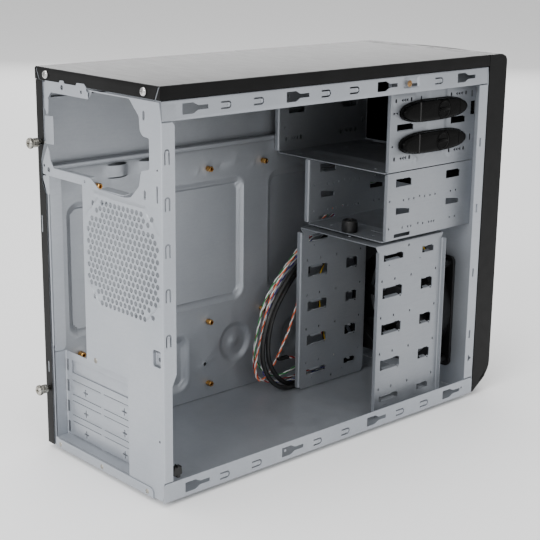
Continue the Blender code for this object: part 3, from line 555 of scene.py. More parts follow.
def turned(axis, centre, profile, segments=32, depth=0.0, knurled=()):
    """Spins (radius, along) pairs about an axis. Rings whose number is in knurled get V grooves of a depth."""
    rings = []
    for number, (radius, along) in enumerate(profile):
        ring = []
        for i in range(segments):
            angle = 2 * math.pi * i / segments
            reach = radius - (depth if number in knurled and i % 2 else 0.0)
            ring.append(placed(axis, centre[0] + reach * math.cos(angle),
                               centre[1] + reach * math.sin(angle), along))
        rings.append(ring)
    return loft(rings)


def frames_along(points):
    """A pair of steady cross directions at each point of a path."""
    path = np.array(points, float)
    tangents = np.gradient(path, axis=0)
    tangents /= np.linalg.norm(tangents, axis=1)[:, None]
    first = np.cross(tangents[0], (0.3, 0.2, 0.93))
    out = []
    for tangent in tangents:
        first = first - tangent * (first @ tangent)
        first /= np.linalg.norm(first)
        out.append((first.copy(), np.cross(tangent, first)))
    return path, out


def strand(points, radius, offset=0.0, phase=0.0, pitch=14.0, sides=10):
    """A round strand along a path, set off from it by offset and winding round it once each pitch."""
    path, frames = frames_along(points)
    run = np.concatenate([[0], np.cumsum(np.linalg.norm(np.diff(path, axis=0), axis=1))])
    centre = []
    for point, (u, v), s in zip(path, frames, run):
        angle = phase + 2 * math.pi * s / pitch
        centre.append(point + (u * math.cos(angle) + v * math.sin(angle)) * offset)
    centre, frames = frames_along(centre)
    rings = []
    for point, (u, v) in zip(centre, frames):
        rings.append([point + (u * math.cos(a) + v * math.sin(a)) * radius
                      for a in (2 * math.pi * i / sides for i in range(sides))])
    return loft(rings)


def mirrored(shape):
    points, faces = shape
    return points * np.array((-1, 1, 1)), [f[::-1] for f in faces]


def piece(name, body, shapes, finishes, replaced=(), bevel=0.0, steps=2, sharp=32, slot=None, cutters=()):
    """One visible piece. Each shape takes the finish at its own place in finishes, or the only one."""
    finishes = finishes if isinstance(finishes, (list, tuple)) else [finishes]
    kinds = list(dict.fromkeys(finishes))
    bm = bmesh.new()
    for number, (points, faces) in enumerate(shapes):
        verts = [bm.verts.new(world(p)) for p in points]
        made = [bm.faces.new([verts[i] for i in face]) for face in faces]
        bmesh.ops.recalc_face_normals(bm, faces=made)
        for face in made:
            face.material_index = kinds.index(finishes[number] if len(finishes) > 1 else finishes[0])
    mesh = bpy.data.meshes.new(name)
    bm.to_mesh(mesh)
    bm.free()
    for kind in kinds:
        mesh.materials.append(kind)
    mesh.shade_smooth()
    mesh.set_sharp_from_angle(angle=math.radians(sharp))
    made = bpy.data.objects.new(name, mesh)
    bpy.context.scene.collection.objects.link(made)
    for cutter in cutters:
        carve(made, cutter)
    if bevel:
        edge = made.modifiers.new("edges", "BEVEL")
        edge.width, edge.segments = bevel * MM, steps
        edge.limit_method, edge.angle_limit = "ANGLE", math.radians(sharp + 8)
        edge.harden_normals = False
    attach(made, body)
    if replaced:
        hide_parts(*replaced)
    slot or (replaced[0] if replaced else "floor_pan")
    return made


def carve(target, shape):
    """Cuts a closed shape out of an object's mesh, at once."""
    bm = bmesh.new()
    points, faces = shape
    verts = [bm.verts.new(world(p)) for p in points]
    for face in faces:
        bm.faces.new([verts[i] for i in face])
    bmesh.ops.recalc_face_normals(bm, faces=bm.faces)
    mesh = bpy.data.meshes.new("cutter")
    bm.to_mesh(mesh)
    bm.free()
    tool = bpy.data.objects.new("cutter", mesh)
    bpy.context.scene.collection.objects.link(tool)
    cut = target.modifiers.new("cut", "BOOLEAN")
    cut.operation, cut.object, cut.solver = "DIFFERENCE", tool, "EXACT"
    graph = bpy.context.evaluated_depsgraph_get()
    result = bpy.data.meshes.new_from_object(target.evaluated_get(graph))
    target.modifiers.remove(cut)
    target.data = result
    result.shade_smooth()
    result.set_sharp_from_angle(angle=math.radians(32))
    bpy.data.objects.remove(tool)


# ---------------------------------------------------------------- cords

def route(points, per_span=8):
    """A Catmull-Rom curve through the points."""
    knots = [Vector(p) for p in points]
    knots = [2 * knots[0] - knots[1]] + knots + [2 * knots[-1] - knots[-2]]
    out = []
    for p0, p1, p2, p3 in zip(knots, knots[1:], knots[2:], knots[3:]):
        for i in range(per_span):
            t = i / per_span
            out.append(0.5 * ((2 * p1) + (p2 - p0) * t + (2 * p0 - 5 * p1 + 4 * p2 - p3) * t ** 2
                              + (3 * p1 - p0 - 3 * p2 + p3) * t ** 3))
    return out + [knots[-2]]


# name: (route, diameter, declared length in metres, far end, wires). The first two are in millimetres.
CORDS = {
    "usb_cable": ([
        (48, -204.9, 188), (48, -194, 186.5), (49, -176, 180), (50, -150, 170), (50.5, -120, 155),
        (50.5, -98, 142.5), (50, -78, 128.5), (49.5, -62, 114), (49, -47, 95), (48.5, -37, 75),
        (47.5, -31, 56),
        (46, -30, 38), (43.5, -35, 21), (41, -45, 9.5), (39.8, -57, 4.4), (39.6, -72, 3.9), (39.6, -90, 3.9),
        (39.6, -110, 3.9), (40, -130, 4.1), (42.5, -149, 6.5), (46.5, -164, 15), (49.5, -170, 30),
        (51.5, -166, 46), (52, -153, 58), (52, -138, 63), (52, -121, 64)], 5.0, 0.49, "connector", ()),
    "audio_cable": ([
        (60, -204.9, 188), (60, -194, 186.5), (58, -176, 179), (56.5, -150, 165), (55.8, -120, 147),
        (55.5, -98, 132), (55, -80, 117.5), (54.5, -66, 103), (54, -53, 85), (53, -45, 66), (51.5, -41.5, 48),
        (49.4, -42.5, 32), (47.4, -49.5, 18), (46, -59.5, 8.5), (45.3, -72, 4.6), (45.3, -90, 4.1),
        (45.3, -110, 4.1), (46, -128, 4.6), (48, -146, 8.5), (52, -160, 18), (56.5, -165, 33), (60, -158, 47),
        (61, -143, 53), (61, -128, 53.5), (61, -115.2, 52.5)], 5.0, 0.456, "connector", ()),
    "power_lead": ([
        (54, -204.7, 225), (54.3, -195, 221.5), (55, -178, 210), (55.2, -150, 193.5), (55, -120, 173.5),
        (54.6, -98, 157), (54.2, -80, 140.8), (54, -66, 128), (54, -53.5, 112), (54, -44, 95), (54, -38, 77),
        (54, -33, 58), (54, -28.5, 42), (54.2, -26.8, 29), (54.6, -28.2, 20), (55, -33, 14),
        (55.2, -39.5, 13.8),
        (55, -46, 18.5), (54.5, -51.4, 25.5), (53.5, -55.8, 33.5), (51.8, -59.6, 42.5), (50.3, -62.2, 50.5),
        (48.6, -65.8, 59), (46.2, -69.4, 72.5), (43.3, -73.4, 90), (40.8, -78, 106), (38.4, -83, 123)],
        2.6, 0.423, "connector", ("orange", "white")),
    "reset_lead": ([
        (45, -204.7, 207), (47.5, -195, 206), (53.5, -178, 200.5), (57.6, -150, 188), (58.2, -120, 170),
        (58, -98, 154.5), (57.6, -80, 139), (57.3, -66, 126.5), (57.2, -51, 111), (57.2, -40, 94.5),
        (57.2, -34, 76), (57.2, -30, 58), (57.6, -28.5, 42), (58.2, -34.5, 29.5), (58.4, -43, 20.5),
        (57.2, -53, 14.5), (55, -62.5, 13.3), (53.4, -73.5, 15.5), (52.8, -86, 19), (54, -104, 22.5),
        (55.5, -124, 20), (56, -143, 14), (56, -156, 8)], 2.6, 0.405, "connector", ("green", "white")),
    "lamp_lead": ([
        (60.5, -204.7, 209), (60.9, -195, 206), (61.5, -178, 194), (61.5, -150, 178.5), (61, -120, 162),
        (60.8, -98, 147), (60.6, -80, 132.5), (60.6, -65, 119), (60.6, -50, 101.5), (60.6, -40, 82),
        (60.8, -34, 62), (61, -30.5, 44), (61.4, -31.5, 27), (62, -38, 14.5), (63, -50, 6.5), (64, -64, 3.4),
        (64.5, -84, 2.7), (64.8, -104, 2.7), (64, -124, 5), (61.5, -138, 14), (58.5, -139, 26),
        (55.5, -127, 33),
        (52.5, -110, 33), (50.5, -94, 30), (49.2, -80, 30), (48.1, -67.4, 34)],
        2.6, 0.478, "connector", ("red", "white")),
    "disk_lead": ([
        (64.5, -204.7, 205), (64.8, -195, 200.5), (65, -178, 190), (65, -150, 173), (64.5, -120, 155),
        (64, -98, 139), (63.5, -80, 123.5), (63, -66, 109), (62.6, -55, 91), (62.4, -47.5, 71),
        (62.2, -43.5, 51), (62.4, -43, 33), (61.4, -45, 17), (57, -54, 8), (53, -65, 5.8), (52, -77, 5.2),
        (53.5, -90, 4), (56.5, -105, 2.9), (60.5, -123, 2.7), (64, -142, 2.7), (65.8, -160, 2.7),
        (66, -176, 2.7)], 2.6, 0.405, "connector", ("blue", "white")),
    "fan_lead": ([
        (-30, -189.5, 145.5), (-26, -187.5, 151), (-16, -185, 157), (-3, -183.5, 161), (10, -182.5, 163.5),
        (22, -181, 165), (33, -177, 164), (42, -169, 160), (48, -157, 153), (50, -142, 146), (50, -127, 137),
        (49, -115, 123), (47, -109, 107), (45, -107.5, 90), (43.8, -109, 73), (43.2, -111.5, 57),
        (43, -116, 43), (43.2, -124, 31.5), (43.5, -134.6, 25)], 3.4, 0.26, "connector",
        ("red", "yellow", "black")),
}
# name: (axis, finish, rows, columns, the end that the wires enter)
PLUGS = {
    "usb_plug": ("Y", HOUSING, 2, 5, -1),
    "audio_plug": ("Y", HOUSING, 2, 5, -1),
    "power_plug": ("Z", HOUSING, 2, 1, -1),
    "reset_plug": ("Y", HOUSING, 1, 2, 1),
    "lamp_plug": ("Y", HOUSING, 1, 2, -1),
    "disk_plug": ("Y", HOUSING, 1, 2, 1),
    "fan_plug": ("Y", NYLON, 1, 3, 1),
}
TWIST_PITCH = {"power_lead": 15, "reset_lead": 19, "fan_lead": 38}
USUAL_TWIST = 17
CORD_GAP = 0.02


def plug(name, axis, finish, rows, columns, wire_end):
    """A crimp housing with contact holes in its far end, latch windows on top, and the contacts inside."""
    low, high = (list(corner) for corner in node_box(name))
    along = "XYZ".index(axis)
    across, up = [i for i in range(3) if i != along]
    face, back = (low[along], high[along]) if wire_end > 0 else (high[along], low[along])
    inward = math.copysign(1, back - face)
    length = abs(back - face)
    outline = rounded(low[across], high[across], low[up], high[up], 0.35, 3)
    body = prism(axis, face + inward * 0.05, back, outline)
    cutters, contacts = [], []
    for i in range(columns):
        for j in range(rows):
            a = low[across] + (high[across] - low[across]) * (i + 0.5) / columns
            b = low[up] + (high[up] - low[up]) * (j + 0.5) / rows
            hole = rect(a - 0.42, a + 0.42, b - 0.42, b + 0.42)
            cutters.append(prism(axis, face - inward, face + inward * 3.5, hole))
            if j == rows - 1:
                window = [None, None, None]
                window[along] = sorted((face + inward * length * 0.42, face + inward * length * 0.66))
                window[across] = (a - 0.55, a + 0.55)
                window[up] = (high[up] - 0.5, high[up] + 1)
                cutters.append(block(*window[0], *window[1], *window[2]))
            pin = rounded(a - 0.36, a + 0.36, b - 0.36, b + 0.36, 0.1, 1)
            contacts.append(prism(axis, face + inward * 1.2, face + inward * 3.4, pin))
    shell = piece(name + "_shell", "chassis", [body], finish, (name,), bevel=0.12, steps=2, cutters=cutters)
    inner = piece(name + "_contacts", "chassis", contacts, TIN, slot=name)
    return shell, inner


def cords():
    plugs = {name: plug(name, *details) for name, details in PLUGS.items()}
    for name, (points, diameter, length, far_end, wires) in CORDS.items():
        path = route(points, 8 if wires else 6)
        if wires:
            count = len(wires)
            core = diameter / 2 / (1 + math.sin(math.pi / count)) if count > 2 else diameter / 4
            radius = diameter / 2 - core - CORD_GAP
            pitch = TWIST_PITCH.get(name, USUAL_TWIST)
            shapes = [strand(path, radius, core, 2 * math.pi * k / count, pitch, 8) for k in range(count)]
            finishes = [WIRE[w] for w in wires]
        else:
            shapes, finishes = [strand(path, diameter / 2 - CORD_GAP, sides=16)], [JACKET]
        made = piece(name + "_wires", "chassis", shapes, finishes, (name,), sharp=60)
        [world(p) for p in path]
        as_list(plugs[name.split("_")[0] + "_plug"])


# ---------------------------------------------------------------- chassis sheet metal

KEYHOLES_Y = (180.4, 68.0, -44.3, -156.4)


def keyhole(y, z):
    """A cover hook's hole: a wide mouth towards the rear that tapers to a narrow slot."""
    half, neck = 4.5, 1.8
    return [(y, z - half), (y, z + half), (y - 11.2, z + half), (y - 16.2, z + neck),
            (y - 27.0, z + neck), (y - 27.0, z - neck), (y - 16.2, z - neck), (y - 11.2, z - half)]


def tongue_slot(y0, y1, z, half=3.3, cut=1.5):
    """The U-shaped cut round a sprung tongue, from its open legs at y0 to its round end at y1."""
    way = math.copysign(1, y1 - y0)
    turn = 0 if way > 0 else 180
    outer = arc((y1 - way * half, z), half, turn - 90, turn + 90, 8)
    inner = arc((y1 - way * half, z), half - cut, turn + 90, turn - 90, 8)
    return [(y0, outer[0][1])] + outer + [(y0, outer[-1][1]),
                                          (y0, inner[0][1])] + inner + [(y0, inner[-1][1])]


def tongue_bump(y0, y1, z, half=3.3):
    """The tongue's pressed end, which stands a little proud."""
    way = math.copysign(1, y1 - y0)
    return dish((y1 - way * (half + 0.2), z), 2.0, -1.0, 1.6)


LOW_TONGUES = ((141.5, 130.5), (104.6, 92.6), (28.0, 16.9), (-9.0, -20.3), (-85.7, -97.7), (-121.5, -133.9))
HIGH_TONGUES = ((140.5, 129.2), (105.0, 93.4), (26.7, 15.1), (-8.5, -20.8), (-123.4, -135.1))
POST_TONGUES = ((289.8, 302.5), (252.3, 264.1), (213.8, 225.7), (176.5, 188.3), (138.1, 149.3))


def rivet(axis, centre, face, way, radius=2.6, height=0.7):
    """A domed rivet head with its dimple."""
    return turned(axis, centre, ((radius, face), (radius * 0.96, face + way * height * 0.45),
                                 (radius * 0.72, face + way * height), (radius * 0.34, face + way * height),
                                 (radius * 0.22, face + way * height * 0.5)), 20)


def floor_pan():
    """The floor with its folded side rails, and the lip that closes it at the rear."""
    low = node_box("floor_pan")[0]
    rail = 18.0
    middle = rail + HALF_W

    def at(x):
        return middle + x
    end = rail + HALF_W + RIGHT_WALL + 12
    loops = [[(0.6, low[1] + 3), (3.0, low[1]), (end - 2, low[1]), (end, low[1] + 2), (end, 199),
              (end - 2, 201.2),
              (rail, 201.2), (rail, 203.4), (3.0, 203.4), (0.6, 201)]]
    loops += [swapped(softened(moved(keyhole(y, 0), 0, rail - 8.5), 0.6, 2)) for y in KEYHOLES_Y]
    loops += [swapped(tongue_slot(y0, y1, rail - 7.3)) for y0, y1 in LOW_TONGUES]
    loops += [disc((rail - 9.8, y), 1.2, 10) for y in (64.0, -186.0)]
    loops += [disc((at(x), y), 1.8, 14) for x in (-62, 62) for y in (-132.0, 132.0)]
    reliefs = [(lambda s, t, f=tongue_bump(y0, y1, rail - 7.3): f(t, s)) for y0, y1 in LOW_TONGUES]
    reliefs += [dish((at(x), y), 12, 1.0, 3) for x in (-62, 62) for y in (-150.0, 150.0)]
    reliefs.append(ridge((at(-52), -182.0), (at(52), -182.0), 4.5, 0.9))
    pan = sheet("Y", [(-HALF_W, rail), (-HALF_W, 0), (RIGHT_WALL, 0), (RIGHT_WALL, 12)], loops, side=-1,
                relief=stacked(*reliefs),
                grid=2.0)
    lip = sheet("X", [(198.0, -0.02), (REAR - 0.1, -0.02), (REAR - 0.1, 9)],
                [softened([(0.5, -73.8), (0.5, 75), (11.5, 75), (14.4, 72), (14.4, -70.8), (11.5, -73.8)],
                          1.5)],
                side=-1, thick=0.7)
    heads = [rivet("Y", (x, 3.9), REAR - 0.1, 0.35, 2.3) for x in (68.0, 1.5, -65.4)]
    heads += [rivet("X", (y, z), -HALF_W + 0.25, -0.35, 2.8) for y, z in ((197.0, 9.8), (-195.4, 8.8))]
    heads = [(np.clip(p, (-HALF_W, -300, -10), (HALF_W, REAR, 400)), f) for p, f in heads]
    piece("floor_pan_sheet", "chassis", [pan, lip], ZINC, ("floor_pan",))
    piece("floor_rivets", "chassis", heads, NICKEL, slot="floor_pan")


# The rear fan's screw squares, and its field of vent holes
FAN_SQUARES = (82.5, 71.5)
SCREWS_CENTRE = (-34.5, 202.8)
VENT_CENTRE = (-34.0, 202.0)
VENT_PITCH = 6.05
VENT_ROW = 5.2
VENT_HALF = (50.5, 46)
VENT_CORNER = 76
VENT_HOLE = 2.4
SCREW_CLEARANCE = 5.0


def perforation():
    """The vent holes, in staggered rows that fill an eight-sided field and leave the screw holes room."""
    out = []
    for row in range(-8, 10):
        z = (row - 0.5) * VENT_ROW
        for column in range(-9, 10):
            x = (column + (0.5 if row % 2 else 0.0)) * VENT_PITCH
            clear = all(math.hypot(abs(x) - s / 2, abs(z) - s / 2) > SCREW_CLEARANCE for s in FAN_SQUARES)
            within = abs(x) < VENT_HALF[0] and abs(z) < VENT_HALF[1] and abs(x) + abs(z) < VENT_CORNER
            if within and clear:
                out.append(disc((VENT_CENTRE[0] + x, VENT_CENTRE[1] + z), VENT_HOLE, 8))
    return out


REAR_EDGE_X = 77.2
GUSSET = ((74, 283.6), (77.4, 277.6), (80.6, 271.6), (83, 266.5), (83, 257.7), (77.8, 257.3), (77.8, 256.2),
          (83, 256.2), (83, 253.4), (80.4, 248), (77.6, 240), (73.4, 240), (73.4, 258), (70.2, 262),
          (70.6, 272))
STRIP = ((72.4, 341.0), (50.4, 341.2), (49.4, 343.2), (43.8, 343.4), (42.8, 341.2), (25.4, 341.2),
         (24.0, 343.6),
         (13.4, 343.8), (10.6, 341.4), (9.8, 337.6), (8.0, 337.4), (8.0, 331.6), (63.6, 331.6), (68.4, 326.4),
         (69.2, 313.5), (71.2, 311.2), (72.4, 314))


def rear_holes(flat):
    """The openings of the rear wall: slots and sockets, fan vent and screws, and the small holes."""
    ports = [(-39, 9.2), (76.0, 9.2), (76.0, 98.5), (75, 98.5), (75, 257), (22, 257), (22, 98.5), (-39, 98.5)]
    loops = [flat(softened(ports, 0.8, 2))] + [flat(h) for h in perforation()]
    loops += [flat(disc((SCREWS_CENTRE[0] + i * s / 2, SCREWS_CENTRE[1] + j * s / 2), 2.3, 12))
              for s in FAN_SQUARES
              for i in (-1, 1) for j in (-1, 1)]
    loops += [flat(slotted((-66.5, 324.4), (-66.5, 329.2), 1.5)),
              flat(slotted((-66.6, 260.4), (-66.6, 265.2), 1.5)),
              flat(slotted((-83.2, 259.6), (-83.2, 271.6), 1.0)), flat(disc((-83.5, 285.2), 1.0, 10)),
              flat(disc((-82.8, 54.4), 1.2, 10)), flat(disc((18.2, 260.4), 1.3, 12)),
              flat(disc((73.2, 262.6), 2.2, 14)),
              flat(disc((46.6, 336.6), 2.6, 14)), flat(disc((17.7, 335.9), 1.9, 14))]
    loops += [flat(rounded(-85.6, -74.8, 119.8, 134.6, 2.0, 3))]
    return loops


def rear_shell():
    """The rear wall's sheet, which folds round the corner into the left post."""
    corner = HALF_W + REAR_EDGE_X

    def at(x):
        return REAR_EDGE_X - x

    def flat(outline):
        return [(at(x), z) for x, z in outline]
    post_low = [(corner + 13.5, 320.5), (corner + 11.5, 323.1), (corner + 0.5, 323.1), (corner - 2.5, 339.2)]
    foot = [(corner - 0.6, 18.4), (corner + 9, 18.4), (corner + 9, 103), (corner + 13.5, 113)]
    psu = softened([(71, 324), (64, 332), (8.4, 332), (4, 341.5), (-46, 341.5), (-60.5, 325), (-61.2, 314),
                    (-65, 310), (-73.3, 309.6), (-73.3, 284.3), (-62, 281.5), (-59.2, 268.6),
                    (-47.5, 257.5), (-38.6, 256), (-2.7, 257), (8.6, 264.6), (65, 264.6), (69.5, 270),
                    (71.6, 277)], 2.2)
    psu = [(x, min(z, 338.2)) for x, z in psu]
    outline = [(0, 339.2), (0, 317), (5.0, 311.4)] + flat(psu) + [(3.6, 282.6), (0.6, 277), (0, 1.1),
                                                                  (corner - 2.5, 1.1)]
    outline += foot + post_low
    loops = [outline] + rear_holes(flat)
    tongues = []
    for z0, z1 in POST_TONGUES:
        loops.append(swapped(tongue_slot(z0, z1, corner + 5.6, 2.9, 1.5)))
        tongues.append(lambda s, t, f=tongue_bump(z0, z1, corner + 5.6, 2.6): f(t, s))
    reliefs = tongues + [ridge((at(3.5), 252.6), (at(-67), 251.0), 2.4, 0.95)]
    for i, j in ((-1, -1), (1, -1), (-1, 1), (1, 1)):
        near, far = (at(-34 + i * 33), 202.5 + j * 46), (at(-34 + i * 51), 202.5 + j * 29)
        reliefs.append(ridge(near, far, 1.5, 0.9))
    return sheet("Z", [(REAR_EDGE_X, REAR_SKIN), (-HALF_W, REAR_SKIN), (-HALF_W, REAR_SKIN - 13.5)], loops,
                 side=-1,
                 relief=stacked(*reliefs), grid=1.6, bend=1.2)


def rear_panel():
    """The rear wall with its gusset and stiffening strip, the folds round its openings and the lock loop."""
    gusset = sheet("Z", [(84, REAR_SKIN + 0.05), (69.6, REAR_SKIN + 0.05)],
                   [softened([(84 - x, z) for x, z in GUSSET], 0.5, 2), disc((84 - 80.4, 265.3), 1.4, 12),
                    disc((84 - 73.2, 262.6), 2.2, 14)], side=-1)
    strip = sheet("Z", [(73, REAR + 0.45), (7, REAR + 0.45)],
                  [softened([(73 - x, z) for x, z in STRIP], 0.5, 2), disc((73 - 46.6, 337.4), 2.2, 16),
                   disc((73 - 17.7, 336.5), 1.5, 14)], side=-1, thick=0.4)
    sill = sheet("X", [(REAR_SKIN - 7.5, 258.6), (REAR_SKIN - 0.2, 257.4)],
                 [softened(rect(0, 7.2, -37.5, -4.0), 1.2, 2)], side=1, thick=0.7)
    bar = sheet("X", [(REAR_SKIN - 6.0, 264.9), (REAR_SKIN - 0.1, 264.9)], [rect(0, 5.8, 10.5, 64.0)], side=1,
                thick=0.7)
    jamb = sheet("Z", [(75, 201.4), (75, 189.6)],
                 [softened([(0, 92.6), (0, 258), (9, 259), (11.8, 254), (11.8, 96),
                                                             (9, 92.6)], 1.5)])
    lock = sheet("Z", [(-75.4, REAR_SKIN - 0.4), (-75.4, REAR_SKIN - 3.4), (-84.8, REAR_SKIN - 3.4),
                       (-84.8, REAR_SKIN - 0.4)],
                 [softened([(0, 120.4), (0, 131.2), (15.4, 131.2), (15.4, 120.4)], 1.2),
                  disc((7.6, 125.6), 2.1, 14)], side=-1, bend=0.8)
    piece("rear_panel_sheet", "chassis", [rear_shell(), gusset, strip, sill, bar, jamb, lock], ZINC,
          ("rear_panel",))
    tab = sheet("Z", [(77.6, REAR_SKIN - 0.2), (68.6, REAR_SKIN - 3.4)],
                [softened(rect(0, 9.5, 284.8, 310.0), 0.6, 2)], side=-1)
    piece("rear_folded_tab", "chassis", [tab], ZINC_FLAT_SHADED, slot="rear_panel", bevel=0.1, steps=1)


FIRST_SLOT_Z = 17.3
SLOT_PITCH = 20.32


def slot_z(index):
    return FIRST_SLOT_Z + SLOT_PITCH * index


def slot_frame():
    """The recessed plate of the expansion slots, with knock-out covers and their pry holes."""
    left, right, face, rim = -39.0, 75.0, REAR_SKIN - 13.0, REAR_SKIN - 1.1
    deep = rim - face

    def at(x):
        return deep + x - left
    width = right - left
    holes, reliefs = [], []
    for i in range(3):
        z = slot_z(i)
        for way in (-1, 1):
            edge = z + way * 7.0
            holes.append(slotted((at(-31), edge), (at(16), edge), 0.35, 3))
            holes.append(slotted((at(21), edge), (at(66), edge), 0.35, 3))
        holes += [cross((at(x), z), 3.5, 0.75) for x in (44.0, -15.7)]
        reliefs.append(pocket(at(-31), at(66), z - 6.2, z + 6.2, 2, 0.55, 1.2))
    holes += [rect(at(71.0), at(74.6), slot_z(i) - 5.7, slot_z(i) + 5.7) for i in range(4)]
    holes.append(rect(at(-33), at(66), slot_z(3) - 6.3, slot_z(3) + 6.3))
    step = at(22.4)
    outline = [(0.4, 9.7), (0.4, 98.7), (step, 98.7), (step, 91.8), (deep + width + deep - 0.4, 91.8),
               (deep + width + deep - 0.4, 9.7)]
    pan = sheet("Z", [(left, rim), (left, face), (right, face), (right, rim)], [outline] + holes,
                relief=stacked(*reliefs), grid=2.0, bend=1.0)
    sill = sheet("X", [(face - 0.8, 9.6), (rim, 9.6)], [rect(0, deep + 0.8, left, right)], side=1)
    heads = [rivet("Y", (8.5, 102.0), REAR_SKIN, 0.35, 2.6), rivet("Y", (8.5, 4.6), REAR_SKIN, 0.35, 2.2)]
    piece("slot_recess_sheet", "chassis", [pan, sill], ZINC, ("slot_frame",))
    piece("slot_rivets", "chassis", heads, NICKEL, slot="slot_frame")
    z = slot_z(3)
    loops = [rounded(0, 109, z - 8.6, z + 8.6, 1.2, 3), rounded(14, 15.4, z - 5.8, z + 5.8, 0.6, 2)]
    relief = pocket(8.5, 101.5, z - 5.4, z + 5.4, 3, 0.6, 1.0)
    cover = sheet("Z", [(-38, face - 1.1), (71, face - 1.1)], loops, relief=relief, grid=1.6)
    piece("slot_cover_sheet", "chassis", [cover], ZINC, ("slot_cover",))


RECESSES = ((-32.0, 182.0, 99.0, 228.0), (-178.0, -64.5, 99.0, 228.0), (41.0, 182.0, 15.0, 74.0))
STANDOFFS = ("top_rear", "top_middle", "top_front", "low_rear", "low_middle", "low_front", "base_middle")


def standoff_places():
    out = {}
    for name in STANDOFFS:
        out[name] = middle_of(*node_box("standoff_" + name), "yz")
    return out


def lens_arc(steps=10):
    """Angles and bulge for a slot that is thickest in its middle."""
    out = [(math.pi * i / steps, math.sin(math.pi * i / steps)) for i in range(steps + 1)]
    return out + [(a, -0.25 * k) for a, k in out[-2:0:-1]]


def strap(y):
    """A cable strap lanced out of the tray between two slots."""
    def relief(t, s):
        along = np.clip(1 - ((t - y) / 11.5) ** 2, 0, 1)
        return 3.2 * along * (s > 245.4) * (s < 257.2)
    return relief


def motherboard_tray():
    """The board's tray, pressed with deep windows, dishes, bosses under the standoffs and short ribs."""
    low, high = node_box("motherboard_tray")
    skin, top = low.x, high.z

    def turn(relief):
        return lambda s, t: relief(t, s)
    reliefs, holes = [], []
    for y0, y1, z0, z1 in RECESSES:
        deep = -4.4 if z0 > 90 else -3.4
        reliefs += [turn(pocket(y0, y1, z0, z1, 13, deep * 0.45, 4.0)),
                    turn(pocket(y0 + 5.2, y1 - 5.2, z0 + 5.2, z1 - 5.2, 8, deep * 0.55, 1.8)),
                    turn(pocket(y0 - 4, y1 + 4, z0 - 4, z1 + 4, 16, 0.35, 4.0))]
    for centre, radius in (((-21.0, 53.0), 22.0), ((-104.0, 46.0), 19.0)):
        reliefs += [turn(dish(centre, radius, -3.2, 7)), turn(dish(centre, radius * 0.42, 1.5, radius * 0.4))]
    for name, (y, z) in standoff_places().items():
        reliefs.append(turn(dish((y, z), 6.2, 0.28, 1.6)))
        if name.startswith("top"):
            reliefs += [turn(ridge((y + 13, z + 4), (y + 11, z - 4), 1.1, 0.5)),
                        turn(ridge((y - 16, z + 4), (y - 18, z - 4), 1.1, -0.5))]
    reliefs += [turn(ridge((y, 241), (y, 249), 1.2, 0.5)) for y in (120.0, 64.0, -20.0, -70.0)]
    reliefs.append(turn(pocket(-190, 196, 257.5, 300, 3, -1.2, 3.0)))
    reliefs += [turn(strap(y)) for y in (124.0, 88.0)]
    for y in (124.0, 88.0):
        holes += [[(245.6 - 1.6 * k, y + 11 * math.cos(a)) for a, k in lens_arc()],
                  [(257.0 + 1.9 * k, y + 11 * math.cos(a)) for a, k in lens_arc()]]
    reliefs.append(turn(dish((20.0, 37.5), 4.4, 0.5, 1.4)))
    holes += [disc((37.5, 20.0), 1.9, 14), disc((26.0, -90.0), 1.8, 12), disc((88.0, -186.0), 2.0, 12)]
    holes += [slotted((120, -186.5), (150, -186.5), 1.6), slotted((190, -186.5), (220, -186.5), 1.6)]
    line = [(skin, 1.1), (skin, top), (86.8, top)]
    outline = [(0.2, low.y), (top + 4.8, low.y), (top + 5.5, low.y + 3), (top + 5.5, high.y - 3),
               (top + 4.8, high.y), (0.2, high.y)]
    holes = [[(z - 1.1, y) for z, y in hole] for hole in holes]

    def relief(s, t, total=stacked(*reliefs)):
        return total(s + 1.1, t) * (s < top - 4)
    plate = sheet("Y", line, [outline] + holes, relief=relief, grid=2.2, bend=1.5)
    piece("motherboard_tray_sheet", "chassis", [plate], ZINC_SHADED_INSIDE, ("motherboard_tray",))


def standoffs():
    """Hexagonal brass standoffs with a chamfered top and a threaded bore."""
    for name, (y, z) in standoff_places().items():
        low, high = node_box("standoff_" + name)
        hexagon = disc((y, z), 3.0, 6)
        small = [(y + (a - y) * 0.86, z + (b - z) * 0.86) for a, b in hexagon]
        bore = disc((y, z), 1.55, 18)
        body = loft([[(high.x, a, b) for a, b in small], [(high.x - 0.4, a, b) for a, b in hexagon],
                     [(low.x + 0.5, a, b) for a, b in hexagon], [(low.x, a, b) for a, b in small]])
        cut = prism("X", low.x - 1, low.x + 4.6, bore)
        piece("standoff_" + name + "_hex", "chassis", [body], BRASS, ("standoff_" + name,), cutters=[cut],
              bevel=0.12, steps=1)


